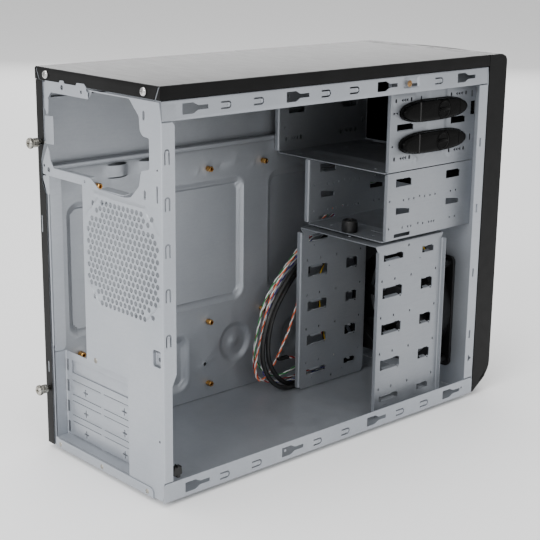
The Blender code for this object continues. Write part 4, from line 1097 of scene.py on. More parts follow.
def top_rails():
    """The left rail with its hook holes, sprung tongues and screw seat, and its plainer twin."""
    low, high = node_box("rail_top_left")
    face = high.z - low.z
    web = 5.0 + face

    def at(z):
        return 5.0 + z - low.z
    for way, name in ((-1, "rail_top_left"), (1, "rail_top_right")):
        outline = [(0, low.y), (web + 10.6, low.y), (web + 10.6, high.y), (0, high.y)]
        loops = [softened(outline, 1.0, 2)]
        loops += [swapped(softened(moved(keyhole(y, 0), 0, at(332.4)), 0.6, 2)) for y in KEYHOLES_Y]
        reliefs = []
        for y0, y1 in HIGH_TONGUES:
            loops.append(swapped(tongue_slot(y0, y1, at(332))))
            reliefs.append(lambda s, t, f=tongue_bump(y0, y1, at(332)): f(t, s))
        reliefs.append(pocket(at(328.2), at(339.2), -101.0, -79.2, 2.0, -1.9, 1.6))
        loops.append(rounded(at(329.4), at(332), -100.0, -92.5, 0.6, 2))
        seat = ((326, 187.5, 337, 187.5), (337, 187.5, 337, 194.5), (326, 187.5, 326, 194.5))
        reliefs += [ridge((at(z0), y0), (at(z1), y1), 1.0, -0.45) for z0, y0, z1, y1 in seat]
        rail = sheet("Y", [(-83, low.z), (-88, low.z), (-88, high.z), (-77, high.z)], loops, side=1,
                     relief=stacked(*reliefs), grid=1.5)
        piece(name + "_sheet", "chassis", [rail if way < 0 else mirrored(rail)], ZINC_FLAT_SHADED, (name,))


def front_panel():
    """The steel front behind the bezel, with the drive openings and the fan's opening."""
    face, corner = FRONT + 0.3, 13.5
    right = corner + HALF_W + RIGHT_WALL

    def at(x):
        return corner + x + HALF_W
    outline = [(0, 18.8), (corner, 18.8), (corner + 0.6, 1.1), (right - 0.6, 1.1), (right, 12.6),
               (right + 12, 12.6),
               (right + 12, 322), (right, 323), (right - 1.4, 340.1), (corner + 1.4, 340.1), (corner, 323),
               (0, 323)]
    loops = [outline, rounded(at(-73.5), at(73.5), 249, 337, 2), rounded(at(-73.5), at(27.5), 208, 240, 1.5),
             rounded(at(36), at(74), 150, 236, 2)]
    for start in (0, 90, 180, 270):
        along = math.radians(start + 45)
        centre = (at(6 * math.cos(along)), FAN_Z + 6 * math.sin(along))
        loops.append([centre] + arc(centre, 50, start, start + 90, 14))
    loops += [disc((at(i * FAN_BOLT), FAN_Z + j * FAN_BOLT), 2.2, 12) for i in (-1, 1) for j in (-1, 1)]
    loops += [rounded(3.8, 6.4, z, z + 9, 0.8, 2) for z in (62.0, 128.0, 195.0, 262.0)]
    loops += [[(4.5, 36), (9.5, 40), (4.5, 44)]]
    reliefs = [ridge((at(-82), 60), (at(-82), 200), 2.6, -0.8), ridge((at(81), 60), (at(81), 300), 2.6, -0.8)]
    shell = sheet("Z", [(-HALF_W, face + corner), (-HALF_W, face), (RIGHT_WALL, face),
                        (RIGHT_WALL, face + 12)], loops, side=-1,
                  relief=stacked(*reliefs), grid=2.4)
    piece("front_panel_sheet", "chassis", [shell], ZINC, ("front_panel",))


# ---------------------------------------------------------------- covers

def top_cover():
    """The painted roof with folded sides, and its rear flange with mitred corners."""
    low, high = node_box("top_cover")
    drop = high.z - low.z
    width = 2 * HALF_W
    back = REAR - 0.62
    loops = [softened([(0, low.y), (drop + drop + width, low.y), (drop + drop + width, back), (0, back)],
                      0.3, 1)]
    roof = sheet("Y", [(-HALF_W, low.z), (-HALF_W, high.z), (HALF_W, high.z), (HALF_W, low.z)], loops, side=1,
                 thick=0.6, bend=1.4, bend_steps=6)
    flange = sheet("X", [(REAR - 3.2, high.z - 0.01), (REAR, high.z - 0.01), (REAR, low.z)],
                   [[(1.4, -HALF_W + 0.8), (1.4, HALF_W - 0.8), (4.8, HALF_W - 2.9),
                     (3.2 + drop, HALF_W - 7.4),
                     (3.2 + drop, -HALF_W + 7.4), (4.8, -HALF_W + 2.9)],
                    disc((3.2 + 6.0, 71.5), 1.6, 14), disc((3.2 + 6.0, -68.5), 1.6, 14)],
                   side=1, thick=0.6, bend=1.3, bend_steps=6)
    wraps = []
    for way in (-1, 1):
        patch = [(-HALF_W + 0.02, low.z), (-HALF_W + 5.2, low.z), (-HALF_W + 1.2, high.z - 2.2),
                 (-HALF_W + 0.6, high.z - 1.2), (-HALF_W + 0.02, high.z - 1.4)]
        made = prism("Y", REAR - 0.62, REAR - 0.02, patch)
        wraps.append(made if way < 0 else mirrored(made))
    backing = block(-HALF_W + 1.4, -HALF_W + 8.5, REAR - 1.4, REAR - 0.7, low.z + 0.3, high.z - 1.5)
    piece("top_cover_paint", "chassis", [roof, flange] + wraps, PAINT, ("top_cover",))
    piece("cover_corner_backing", "chassis", [backing, mirrored(backing)], ZINC_FLAT_SHADED, slot="top_cover",
          bevel=0.1)


def side_panel():
    """The right cover: steel sheet painted black outside and left bare inside, with a folded rear flange."""
    low, high = node_box("side_panel")
    depth, fold = high.y - low.y, 11
    end = depth + fold
    loops = [[(0, low.z), (end, low.z), (end, 240), (depth + 5.2, 250), (depth + 5.2, 270), (depth + 9, 281),
              (end, 286), (end, high.z), (0, high.z)]]
    loops += [disc((depth + 5, z), 2.6, 16) for z in (285.7, 55.4)]
    slits = [slotted((depth + 3.2, 204.6), (depth + 3.2, 218.6), 1.1),
             slotted((depth + 5.6, 72), (depth + 5.6, 81), 1.1)]
    skin = sheet("Z", [(HALF_W, low.y), (HALF_W, high.y), (HALF_W - fold, high.y)], loops + slits, side=-1,
                 thick=0.35,
                 bend=1.2, bend_steps=6)
    piece("side_panel_paint", "side_panel", [skin], PAINT, ("side_panel",))
    inset = 0.38
    bare = [[(s - 2 * inset if s > depth else s, z) for s, z in loop] for loop in loops]
    edge = HALF_W - inset
    core = sheet("Z", [(edge, low.y), (edge, high.y - inset), (HALF_W - fold, high.y - inset)], bare, side=-1,
                 thick=0.4, bend=0.9, bend_steps=6)
    piece("side_panel_steel", "side_panel", [core], ZINC_SHADED_INSIDE, slot="side_panel")


# ---------------------------------------------------------------- drive cages

def windowed(y0, y1, z0, z1, notch=2.2):
    """A cage window with a small step at its front upper corner."""
    return softened([(y0, z0), (y1, z0), (y1, z1), (y0 + notch, z1), (y0 + notch, z1 - notch * 0.5),
                     (y0, z1 - notch * 0.5)], 0.7, 2)


def lip(x, y0, y1, z, way, drop=1.0, reach=2.6):
    """The tab bent inwards from a window's edge."""
    return sheet("Y", [(x, z), (x + way * reach * 0.4, z - drop * 0.2), (x + way * reach, z - drop)],
                 [softened([(0, y0), (reach * 1.2, y0 + 0.6), (reach * 1.2, y1 - 0.6), (0, y1)], 0.5, 1)],
                 side=1, thick=0.5, bend=0.6, bend_steps=3)


def rear_flange(x, way, y, reach, z0, z1):
    """The bright flange folded outwards at a cage wall's rear edge."""
    line = [(x, y - 3.0), (x, y - SHEET), (x + way * reach, y - SHEET)]
    return sheet("Z", line,
                 [softened([(0.1, z0 + 1), (2.2, z0), (3.0 - SHEET + reach, z0), (3.0 - SHEET + reach, z1),
                                       (2.2, z1), (0.1, z1 - 1)], 0.8, 2)], side=1 if way < 0
                 else -1, bend=0.9)


def cage(name, left, right, floor_loops, wall_holes, reliefs, tabs):
    """A U of sheet metal: two walls on a floor in one folded piece, with a flange at each wall's rear."""
    box_low, box_high = node_box(name)
    low, top, front, rear = box_low.z, box_high.z, box_low.y, box_high.y
    wall = top - low
    width = right - left

    def left_wall(outline):
        return [(top - z, y) for y, z in outline]

    def right_wall(outline):
        return [(wall + width + z - low, y) for y, z in outline]
    end = 2 * wall + width
    loops = [softened([(0, front), (end, front), (end, rear - 3), (end - wall + 1, rear - 3),
                       (end - wall - 1, rear),
                       (wall + 1, rear), (wall - 1, rear - 3), (0, rear - 3)], 0.8, 2)]
    loops += [left_wall(h) for h in wall_holes] + [right_wall(h) for h in wall_holes]
    loops += [[(wall + x - left, y) for x, y in h] for h in floor_loops]
    shell = sheet("Y", [(left, top), (left, low), (right, low), (right, top)], loops, side=-1,
                  relief=stacked(*reliefs), grid=2.2)
    flanges = [rear_flange(x, way, rear, 4.2, low + 2, top) for x, way in ((left, -1), (right, 1))]
    piece(name + "_sheet", "chassis", [shell] + flanges + tabs, ZINC_SHADED_CAGE, (name,))


def drive_cage_525():
    low, high = node_box("drive_cage_525")
    holes = [windowed(-110.2, -87.1, 285.8, 292.4), windowed(-187.0, -165.1, 285.8, 292.8)]
    for z in (315.2, 260.0):
        holes += [rounded(y - 1.3, y + 1.3, z - 2.0, z + 2.0, 1.2, 3)
                  for y in (-83.8, -105.1, -163.3, -185.7)]
        holes += [[(y - 1.6, z - 2.0), (y + 1.6, z), (y - 1.6, z + 2.0)]
                  for y in (-92.6, -95.9, -99.2, -171.6, -175.4, -179.2)]
    holes += [rounded(-121.3, -119.1, 313.4, 317.2, 1.0, 3), rounded(-197.2, -195.2, 310.2, 316.9, 0.9, 3),
              rounded(-196.9, -194.8, 266.6, 273.7, 0.9, 3), rounded(-201.8, -194.8, 292.4, 306.0, 0.9, 2)]
    holes += [[(-81.4, 301.6), (-81.4, 304.8), (-84.5, 303.2)],
              [(-88.1, 301.6), (-88.1, 304.8), (-85.1, 303.2)]]
    holes += [disc((-81.4, 271.9), 1.1, 12)]
    wall = high.z - low.z
    floor_holes = [disc((x, y), 1.5, 12) for x in (-52.0, 52.0) for y in (-84.0, -150.0)]
    floor_holes += [softened(rect(-62, 62, -202.5 + 1.2, -198.5), 0.8, 2)]
    reliefs = [ridge((wall + 74.8 - 48, -107), (wall + 74.8 + 46, -107), 9.5, -2.0),
               ridge((wall + 74.8 - 50, -182), (wall + 74.8 + 52, -182), 4.5, -1.5)]
    for y0, y1, z in ((-112.0, -79.6, 315.2), (-112.0, -79.6, 260.0), (-192.0, -159.6, 315.2),
                      (-192.0, -159.6, 260.0)):
        reliefs.append(pocket(high.z - z - 5.4, high.z - z + 5.4, y0, y1, 4.5, 0.8, 1.4))
    reliefs.append(lambda s, t: 1.7 * ease((-127.2 - t) / 6.4) * ease((t + 158.6) / 6.4) * (s < wall - 14))
    reliefs.append(pocket(wall - 12.6, wall - 6.0, -117.6, -112.8, 1.5, 1.2, 1.4))
    tabs = [lip(-74.6, -109, -90, 286.6, 1), lip(-74.6, -186.5, -168, 286.3, 1)]
    cage("drive_cage_525", -74.8, 74.8, floor_holes, holes, reliefs, tabs)


def drive_cage_35():
    low, high = node_box("drive_cage_35")
    rear = high.y
    holes = [windowed(-110.9, -88.6, 232.0, 240.0), windowed(-183.0, -162.0, 232.0, 240.0),
             softened([(-109.4, 205.0), (-89.8, 205.4), (-89.8, 212.0), (-102, 210.6), (-109.4, 209.3)], 0.7,
                      2),
             softened([(-183, 205.0), (-163, 205.4), (-163, 212.0), (-175, 210.6), (-183, 209.3)], 0.7, 2),
             softened(rect(-111.4, -88.2, 182.6, 186.2), 0.7, 2)]
    for z, ys in ((218.4, (-80.5, -100.4, -108, -115.3, -123.6, -131, -139, -146.5, -170, -178)),
                  (191.4, (-80.4, -100, -108, -112.4, -122.8, -130, -138.6, -142.6, -146.4, -170, -178))):
        for i, y in enumerate(ys):
            up = z + (1.1 if i in (0, 4) else 0.0)
            holes.append(rounded(y - 0.9, y + 0.9, up - 1.2, up + 1.2, 0.8, 2))
    notch = softened([(-27.3, -81.8), (-21.7, -81.8), (-21.7, rear + 1), (-27.3, rear + 1)], 0.6, 2)
    floor_holes = [[(x, min(y, rear - 0.4)) for x, y in notch]]
    floor_holes += [rounded(-60, -34, -100.6, -99.0, 0.7, 2), rounded(-12, 14, -100.6, -99.0, 0.7, 2),
                    disc((-50, -86), 1.4, 12), disc((8, -86), 1.4, 12)]
    wall = high.z - low.z
    reliefs = [ridge((wall + 20, -112), (wall + 84, -112), 3.0, -1.1)]
    tabs = [lip(-74.6, -110, -92, 232.4, 1), lip(28.6, -110, -92, 232.4, -1)]
    cage("drive_cage_35", -74.8, 28.8, floor_holes, holes, reliefs, tabs)


DISK_CAGE_X = (-72.8, 31.8)
DISK_WINDOW_ROWS = ((160.2, 166.8), (122.8, 133.8), (85.9, 96.5), (48.9, 59.5), (16.0, 22.0))


def disk_cage_windows():
    """The holes of a wall of the disk cage, and the tabs bent in from the windows of both walls."""
    left, right = DISK_CAGE_X
    holes, tabs = [], []
    for z0, z1 in DISK_WINDOW_ROWS:
        for y0, y1 in ((-105.8, -77.6), (-150.6, -133.6)):
            holes.append(windowed(y0, y1, z0, z1))
            tall = z1 - z0 > 8
            holes.append(disc((y0 + 2.2, z0 - 0.2), 1.3, 10) if tall else disc((y0 + 20, z0 - 4.5), 0.7, 8))
            for x, way in ((left + 0.4, 1), (right - 0.4, -1)):
                tabs.append(lip(x, y0 + 3.5, y1 - 5, z0 + 0.3, way, -0.9, 3.0))
                tabs.append(lip(x, y0 + 9, y1 - 3.4, z1 - 0.2, way, 0.9, 2.2))
    for z in (140.8, 103.6, 66.6, 29.6):
        holes += [rounded(y - 0.9, y + 0.9, z - 1.4, z + 1.4, 0.8, 2) for y in (-76.3, -94.7, -118.4, -155.2)]
    holes += [rounded(-114.4, -112.4, 170.2, 173.2, 0.9, 2), rounded(-116, -113.8, 6.4, 9.2, 0.9, 2)]
    return holes, tabs


def hdd_cage():
    """The hard-disk cage: slotted walls under a top plate, with bent tabs in every window."""
    low, high = node_box("hdd_cage")
    left, right = DISK_CAGE_X
    bottom, top = low.z, high.z
    rear, front = high.y, low.y
    wall, width = top - bottom, right - left

    def left_wall(outline):
        return [(z - bottom, y) for y, z in outline]

    def right_wall(outline):
        return [(wall + width + top - z, y) for y, z in outline]
    holes, tabs = disk_cage_windows()
    end = 2 * wall + width
    outline = [(0.2, front + 3), (wall - 6, front + 3), (wall - 1, front), (end - wall + 1, front),
               (end - wall + 6, front + 3), (end - 0.2, front + 3), (end - 0.2, rear - 3),
               (end - wall + 6, rear - 3),
               (end - wall + 1, rear), (wall - 1, rear), (wall - 6, rear - 3), (0.2, rear - 3)]
    loops = [softened(outline, 0.8, 2)] + [left_wall(h) for h in holes] + [right_wall(h) for h in holes]
    middle = wall + (-24.5 - left)
    loops += [disc((middle, -79.0), 1.9, 14), rounded(middle - 34, middle - 12, -100, -98.6, 0.6, 2),
              rounded(middle + 12, middle + 34, -100, -98.6, 0.6, 2)]
    reliefs = [ridge((wall + 12, -130), (wall + width - 12, -130), 3.2, -0.8),
               dish((middle, -79.0), 7.5, -0.5, 1.5)]
    shell = sheet("Y", [(left, bottom), (left, top), (right, top), (right, bottom)], loops, side=1,
                  relief=stacked(*reliefs), grid=2.2)
    flanges = []
    for x, way in ((left, -1), (right, 1)):
        flanges.append(rear_flange(x, way, rear, 4.4, 4, 171.5))
        front_line = [(x, front + 3.0), (x, front + SHEET), (x + way * 4.4, front + SHEET)]
        flanges.append(sheet("Z", front_line,
                             [softened([(0.1, 5), (2.2, 4), (6.6, 4), (6.6, 171.5), (2.2, 171.5),
                                                         (0.1, 170.5)], 0.8, 2)],
                             side=-1 if way < 0 else 1, bend=0.9))
    piece("hdd_cage_sheet", "hdd_cage", [shell] + flanges, ZINC_SHADED_CAGE, ("hdd_cage",))
    piece("hdd_cage_tabs", "hdd_cage", tabs, ZINC_FLAT_SHADED, slot="hdd_cage")


# ---------------------------------------------------------------- fasteners and clips

def cross_recess(axis, centre, face, way, reach=1.9, half=0.42, depth=1.3):
    """The cutter for a screw's cross recess, entering from its face."""
    return prism(axis, face + way * 1.0, face - way * depth, cross(centre, reach, half))


THREAD_PITCH = 0.7


def thumbscrews():
    """Knurled thumbscrews with a cross recess in the head, a collar and a plain shank."""
    for name in ("thumbscrew_upper", "thumbscrew_lower"):
        low, high = node_box(name)
        centre = middle_of(low, high, "xz")
        y = low.y
        profile = ((1.7, y), (2.1, y + 0.5), (2.1, REAR + 2.6), (3.6, REAR + 2.7), (4.1, REAR + 3.2),
                   (4.1, REAR + 8.0), (3.7, REAR + 8.4), (3.7, REAR + 8.9), (4.6, REAR + 9.0),
                   (4.9, REAR + 9.3),
                   (4.9, REAR + 11.0), (4.6, REAR + 11.6), (4.0, REAR + 12.1), (3.4, REAR + 12.5),
                   (2.6, REAR + 12.3))
        body = turned("Y", centre, profile, 72, depth=0.28, knurled=(4, 5, 9, 10))
        thread = []
        for start in (y + k * THREAD_PITCH for k in range(5)):
            thread.append(turned("Y", centre, ((1.9, start + 0.8), (2.35, start + 1.05), (1.9, start + 1.3)),
                                 24))
        piece(name + "_knurled", name, [body] + thread, NICKEL, (name,), sharp=26,
              cutters=[cross_recess("Y", centre, high.y, 1, 2.3, 0.5, 1.6)])


def pan_screws():
    for name in ("cover_screw_right", "cover_screw_left"):
        low, high = node_box(name)
        centre = middle_of(low, high, "xz")
        profile = ((3.5, low.y), (3.6, low.y + 0.3), (3.45, low.y + 0.9), (3.0, low.y + 1.4),
                   (2.2, low.y + 1.7),
                   (1.0, high.y))
        piece(name + "_head", "chassis", [turned("Y", centre, profile, 32)], SCREW_ZINC, (name,),
              cutters=[cross_recess("Y", centre, high.y, 1, 1.9, 0.36, 1.0)])
    low, high = node_box("rail_screw")
    centre = middle_of(low, high, "yz")
    profile = ((2.3, high.x), (3.1, high.x - 0.12), (3.1, high.x - 0.3), (2.6, high.x - 0.5), (1.3, low.x))
    piece("rail_screw_head", "chassis", [turned("X", centre, profile, 32)], RAIL_BRASS, ("rail_screw",),
          cutters=[cross_recess("X", centre, low.x, -1, 2.2, 0.6, 0.5)])


def cage_thumbscrew():
    """The plastic thumbscrew that holds the hard-disk cage, with a ribbed barrel."""
    low, high = node_box("cage_thumbscrew")
    centre = middle_of(low, high, "xy")
    base = low.z + 3.4
    profile = ((2.0, low.z), (2.2, low.z + 0.4), (2.2, base), (7.4, base + 0.1), (7.9, base + 0.7),
               (7.9, high.z - 2.2), (7.6, high.z - 1.6), (7.2, high.z - 0.6), (6.3, high.z),
               (4.8, high.z - 0.1),
               (4.5, high.z - 0.8))
    piece("cage_thumbscrew_ribbed", "cage_thumbscrew",
          [turned("Z", centre, profile, 64, depth=0.35, knurled=(4, 5))], HOUSING, ("cage_thumbscrew",),
          sharp=26,
          cutters=[cross_recess("Z", centre, high.z, 1, 2.6, 0.5, 1.8)])


def clip_ring(centre, half_length, half_height, x, steps=56):
    ring = []
    for i in range(steps):
        angle = 2 * math.pi * i / steps
        c, s = math.cos(angle), math.sin(angle)
        ring.append((x, centre[0] + half_length * math.copysign(abs(c) ** 0.66, c),
                     centre[1] + half_height * math.copysign(abs(s) ** 0.88, s)))
    return ring


def clip_knob_seat(name):
    """Where a clip's knob sits in the plane of the wall, and its radius."""
    low, high = node_box("clip_knob_" + name)
    return middle_of(low, high, "yz"), (high.y - low.y) / 2


def clip_knob(name):
    """A quarter-turn knob: a dished disc with a grip across it."""
    knob, radius = clip_knob_seat(name)
    face = node_box("clip_knob_" + name)[0].x + 1.1
    disc_part = turned("X", knob, ((radius - 0.2, face + 1.5), (radius, face + 0.5), (radius - 0.4, face),
                                   (radius - 1.6, face - 0.25), (radius - 2.4, face + 0.3),
                                   (3.4, face + 0.35)), 48)
    grip = loft([clip_ring(knob, radius - 2.0 - k, 1.9 - k * 0.5, face + 0.4 - d, 32)
                 for k, d in ((0, 0), (0.05, 0.9), (0.3, 1.3), (0.8, 1.48))])
    piece("clip_knob_" + name + "_grip", "clip_knob_" + name, [disc_part, grip], GLOSS,
          ("clip_knob_" + name,))


def drive_clips():
    """Oval clips: a domed lid on a flange, a raised rib, and a quarter-turn knob in its seat."""
    for name in ("lower", "upper"):
        low, high = node_box("drive_clip_" + name)
        centre = middle_of(low, high, "yz")
        length, height = (high.y - low.y) / 2, (high.z - low.z) / 2
        rings = []
        for drop, inset in ((7.2, 0.4), (6.9, 0.0), (5.4, 0.0), (5.1, 0.7), (2.6, 0.9), (1.4, 1.3),
                            (0.6, 2.1),
                            (0.15, 3.2), (0.0, 4.6)):
            rings.append(clip_ring(centre, length - inset, height - inset, low.x + drop))
        knob, radius = clip_knob_seat(name)
        cuts = [prism("X", low.x - 1, low.x + 1.5, disc(knob, radius + 0.45, 48)),
                block(low.x - 1, low.x + 0.3, -169.4, -168.8, low.z - 2, high.z + 2)]
        rib = block(low.x - 0.15, low.x + 1.2, -112.2, -110.6, centre[1] - 9.2, centre[1] + 9.2)
        rim = [(low.x + 0.9, centre[0] + (length - 3.4) * math.cos(a),
                centre[1] + (height - 2.6) * math.sin(a))
               for a in np.linspace(-1.1, 1.1, 14)]
        piece("drive_clip_" + name + "_lid", "chassis", [loft(rings)], GLOSS, ("drive_clip_" + name,),
              cutters=cuts)
        piece("drive_clip_" + name + "_rib", "chassis", [rib, strand(rim, 0.45)], HOUSING,
              slot="drive_clip_" + name,
              bevel=0.2)
        clip_knob(name)


def corner_clip():
    """The black plastic clip that closes the gap at the foot of the rear left post."""
    z = node_box("corner_clip")[0].z
    jaw = softened([(183, 21.8), (191.6, 21.4), (192, 26), (189.8, 30.2), (188.3, 27.6), (186.6, 30.6),
                    (185, 27.9),
                    (183.4, 29.6)], 0.8)
    stem = softened([(184.4, z + 0.2), (187.4, z + 0.2), (187.8, 24), (184.0, 24)], 0.6)
    hook = softened([(187.6, 20.4), (190.6, 20.8), (191.0, 22.4), (187.4, 22.6)], 0.6)
    piece("corner_clip_jaw", "chassis", [prism("X", -87.9, -82.8, jaw), prism("X", -87.2, -83.6, stem),
                                         prism("X", -86.4, -84.4, hook)], HOUSING, ("corner_clip",),
          bevel=0.25)


def feet():
    for side in ("front_left", "front_right", "rear_left", "rear_right"):
        low, high = node_box("foot_" + side)
        centre = middle_of(low, high, "xy")
        profile = ((5.6, low.z + 0.5), (6.0, low.z), (8.2, low.z), (8.8, low.z + 0.35), (9.4, low.z + 1.2),
                   (10.0, high.z - 0.5), (9.8, high.z))
        piece("foot_" + side + "_pad", "chassis", [turned("Z", centre, profile, 40)], FOOT, ("foot_" + side,))


# ---------------------------------------------------------------- front fan

BLADES = 7
BLADE_ROOT = 19.6
BLADE_TIP = 54.6


def fan_duct(front, rear):
    """The round wall that the blades turn in, flared at both ends."""
    segments = 64
    section = ((front + 0.2, 59.6), (front + 3.5, 59.2), (rear - 3.5, 59.2), (rear - 0.2, 59.6),
               (rear - 0.1, 57.5), (rear - 3.0, 57.2), (front + 3.0, 57.2), (front + 0.1, 57.5))
    angles = [2 * math.pi * i / segments for i in range(segments)]
    points = np.array([(radius * math.cos(a), y, FAN_Z + radius * math.sin(a))
                       for y, radius in section for a in angles])
    faces = []
    for k in range(len(section)):
        nxt = (k + 1) % len(section)
        for i in range(segments):
            j = (i + 1) % segments
            faces.append((k * segments + i, k * segments + j, nxt * segments + j, nxt * segments + i))
    return points, faces


def fan_frame():
    """The fan's flanged frame, with its corner bosses and the struts that carry the motor."""
    low, high = node_box("fan_frame")
    front, rear = low.y, high.y
    middle, half = FAN_Z, (high.x - low.x) / 2
    corners = [(i * FAN_BOLT, middle + j * FAN_BOLT) for i in (-1, 1) for j in (-1, 1)]

    def flange(y, skin):
        loops = [rounded(-half, half, middle - half, middle + half, 6, 5), disc((0, middle), 57.5, 64)]
        loops += [disc(corner, 2.2, 14) for corner in corners]
        return sheet("Z", [(-half, y), (half, y)], [[(x + half, z) for x, z in loop] for loop in loops],
                     side=1, thick=skin)
    shapes = [flange(rear, 3.2), flange(front + 3.2, 3.2), fan_duct(front, rear)]
    shapes += [turned("Y", corner, ((4.2, front + 3), (4.2, rear - 3)), 20) for corner in corners]
    struts = [turned("Y", (0, middle), ((20.0, front + 0.2), (21.0, front + 0.8), (21.0, front + 3.6),
                                        (20.2, front + 4.0)), 48)]
    for k in range(4):
        angle = math.radians(90 * k)
        across = Vector((math.cos(angle), math.sin(angle)))
        side_way = Vector((-across.y, across.x))
        outline = [across * 19 + side_way * 2.2, across * 58.3 + side_way * 1.6,
                   across * 58.3 - side_way * 1.6,
                   across * 19 - side_way * 2.2]
        struts.append(prism("Y", front + 0.3, front + 3.0, [(p.x, middle + p.y) for p in outline]))
    piece("fan_frame_shell", "chassis", shapes + struts, FAN_PLASTIC, ("fan_frame",), bevel=0.25, steps=2)


def fan_rotor():
    """The fan's hub with its swept blades."""
    low, high = node_box("fan_frame")
    front, rear = low.y, high.y
    hub = turned("Y", (0, FAN_Z),
                 ((20.2, front + 4.6), (20.5, front + 5.0), (20.5, rear - 4.6), (20.1, rear - 3.0),
                                    (19.2, rear - 2.2), (17.6, rear - 1.8), (9.0, rear - 1.8),
                  (8.4, rear - 2.1)), 56)
    piece("fan_rotor_blades", "fan_rotor", [hub] + [fan_blade(k, rear) for k in range(BLADES)], FAN_PLASTIC,
          ("fan_rotor",))


def fan_blade(index, rear, stations=9, across=8):
    """A swept, cambered blade with a thin trailing edge."""
    turn = 2 * math.pi * index / BLADES
    middle = rear - 10.0
    rings = []
    for step in range(stations):
        share = step / (stations - 1)
        radius = BLADE_ROOT + (BLADE_TIP - BLADE_ROOT) * share
        pitch = math.radians(50 - 21 * share)
        sweep = turn + 0.2 * share ** 1.4
        chord = 15.0 + 7.0 * share
        upper, lower = [], []
        for k in range(across + 1):
            along = k / across - 0.5
            camber = 1.5 * (1 - (2 * along) ** 2)
            half = 0.85 * math.sqrt(max(0.0, 1 - (2 * along * 0.94) ** 2)) + 0.12
            for ring, side in ((upper, 1), (lower, -1)):
                lift = camber + side * half
                around = chord * along * math.cos(pitch) - lift * math.sin(pitch)
                depth = chord * along * math.sin(pitch) + lift * math.cos(pitch)
                angle = sweep + around / radius
                ring.append((radius * math.cos(angle), middle + depth * 0.8,
                             FAN_Z + radius * math.sin(angle)))
        rings.append(upper + lower[::-1])
    return loft(rings)


# ---------------------------------------------------------------- front bezel

def crown(x):
    """How far the front face stands forward of its edges at this x."""
    return 4.0 * (1 - (x / HALF_W) ** 2)


def crowned(loops_x_z, y, thick, relief=None, grid=4.0, low_z=0.0):
    """A plate that follows the bezel's crowned front, its skin at y where the crown is nothing."""
    shifted = [[(z - low_z, x) for x, z in loop] for loop in loops_x_z]

    def lift(s, t):
        extra = relief(t, s + low_z) if relief else 0.0
        return crown(t) + extra
    top = max(z for _, z in loops_x_z[0])
    return sheet("X", [(y, low_z), (y, top)], shifted, side=1, thick=thick, relief=lift, grid=grid)


BEZEL_HOLES = {
    "bay_cover_upper": 2.4, "bay_cover_lower": 2.4, "bay_cover_small": 2.0, "front_grille": 7.0,
}
POWER = (54.0, 225.0)
RESET = (45.0, 207.0)
LENS_BOX = (58.0, 68.0, 205.4, 208.6)
PORTS_Z = 190.0
NET_PITCH = 1.8
NET_HALF = 0.6


def bezel_openings():
    """Outlines in the front view for the covers, grille, buttons, lens and sockets."""
    openings = []
    for name, radius in BEZEL_HOLES.items():
        a, b = node_box(name)
        openings.append(rounded(a.x - 0.35, b.x + 0.35, a.z - 0.35, b.z + 0.35, radius, 6))
    openings += [disc(POWER, 9.4, 40), disc(RESET, 3.3, 24)]
    x0, x1, z0, z1 = LENS_BOX
    openings.append(rounded(x0 - 0.3, x1 + 0.3, z0 - 0.3, z1 + 0.3, 1.8, 5))
    openings.append(rounded(34.6, 73.4, PORTS_Z - 5.9, PORTS_Z + 5.9, 2.5, 5))
    return openings


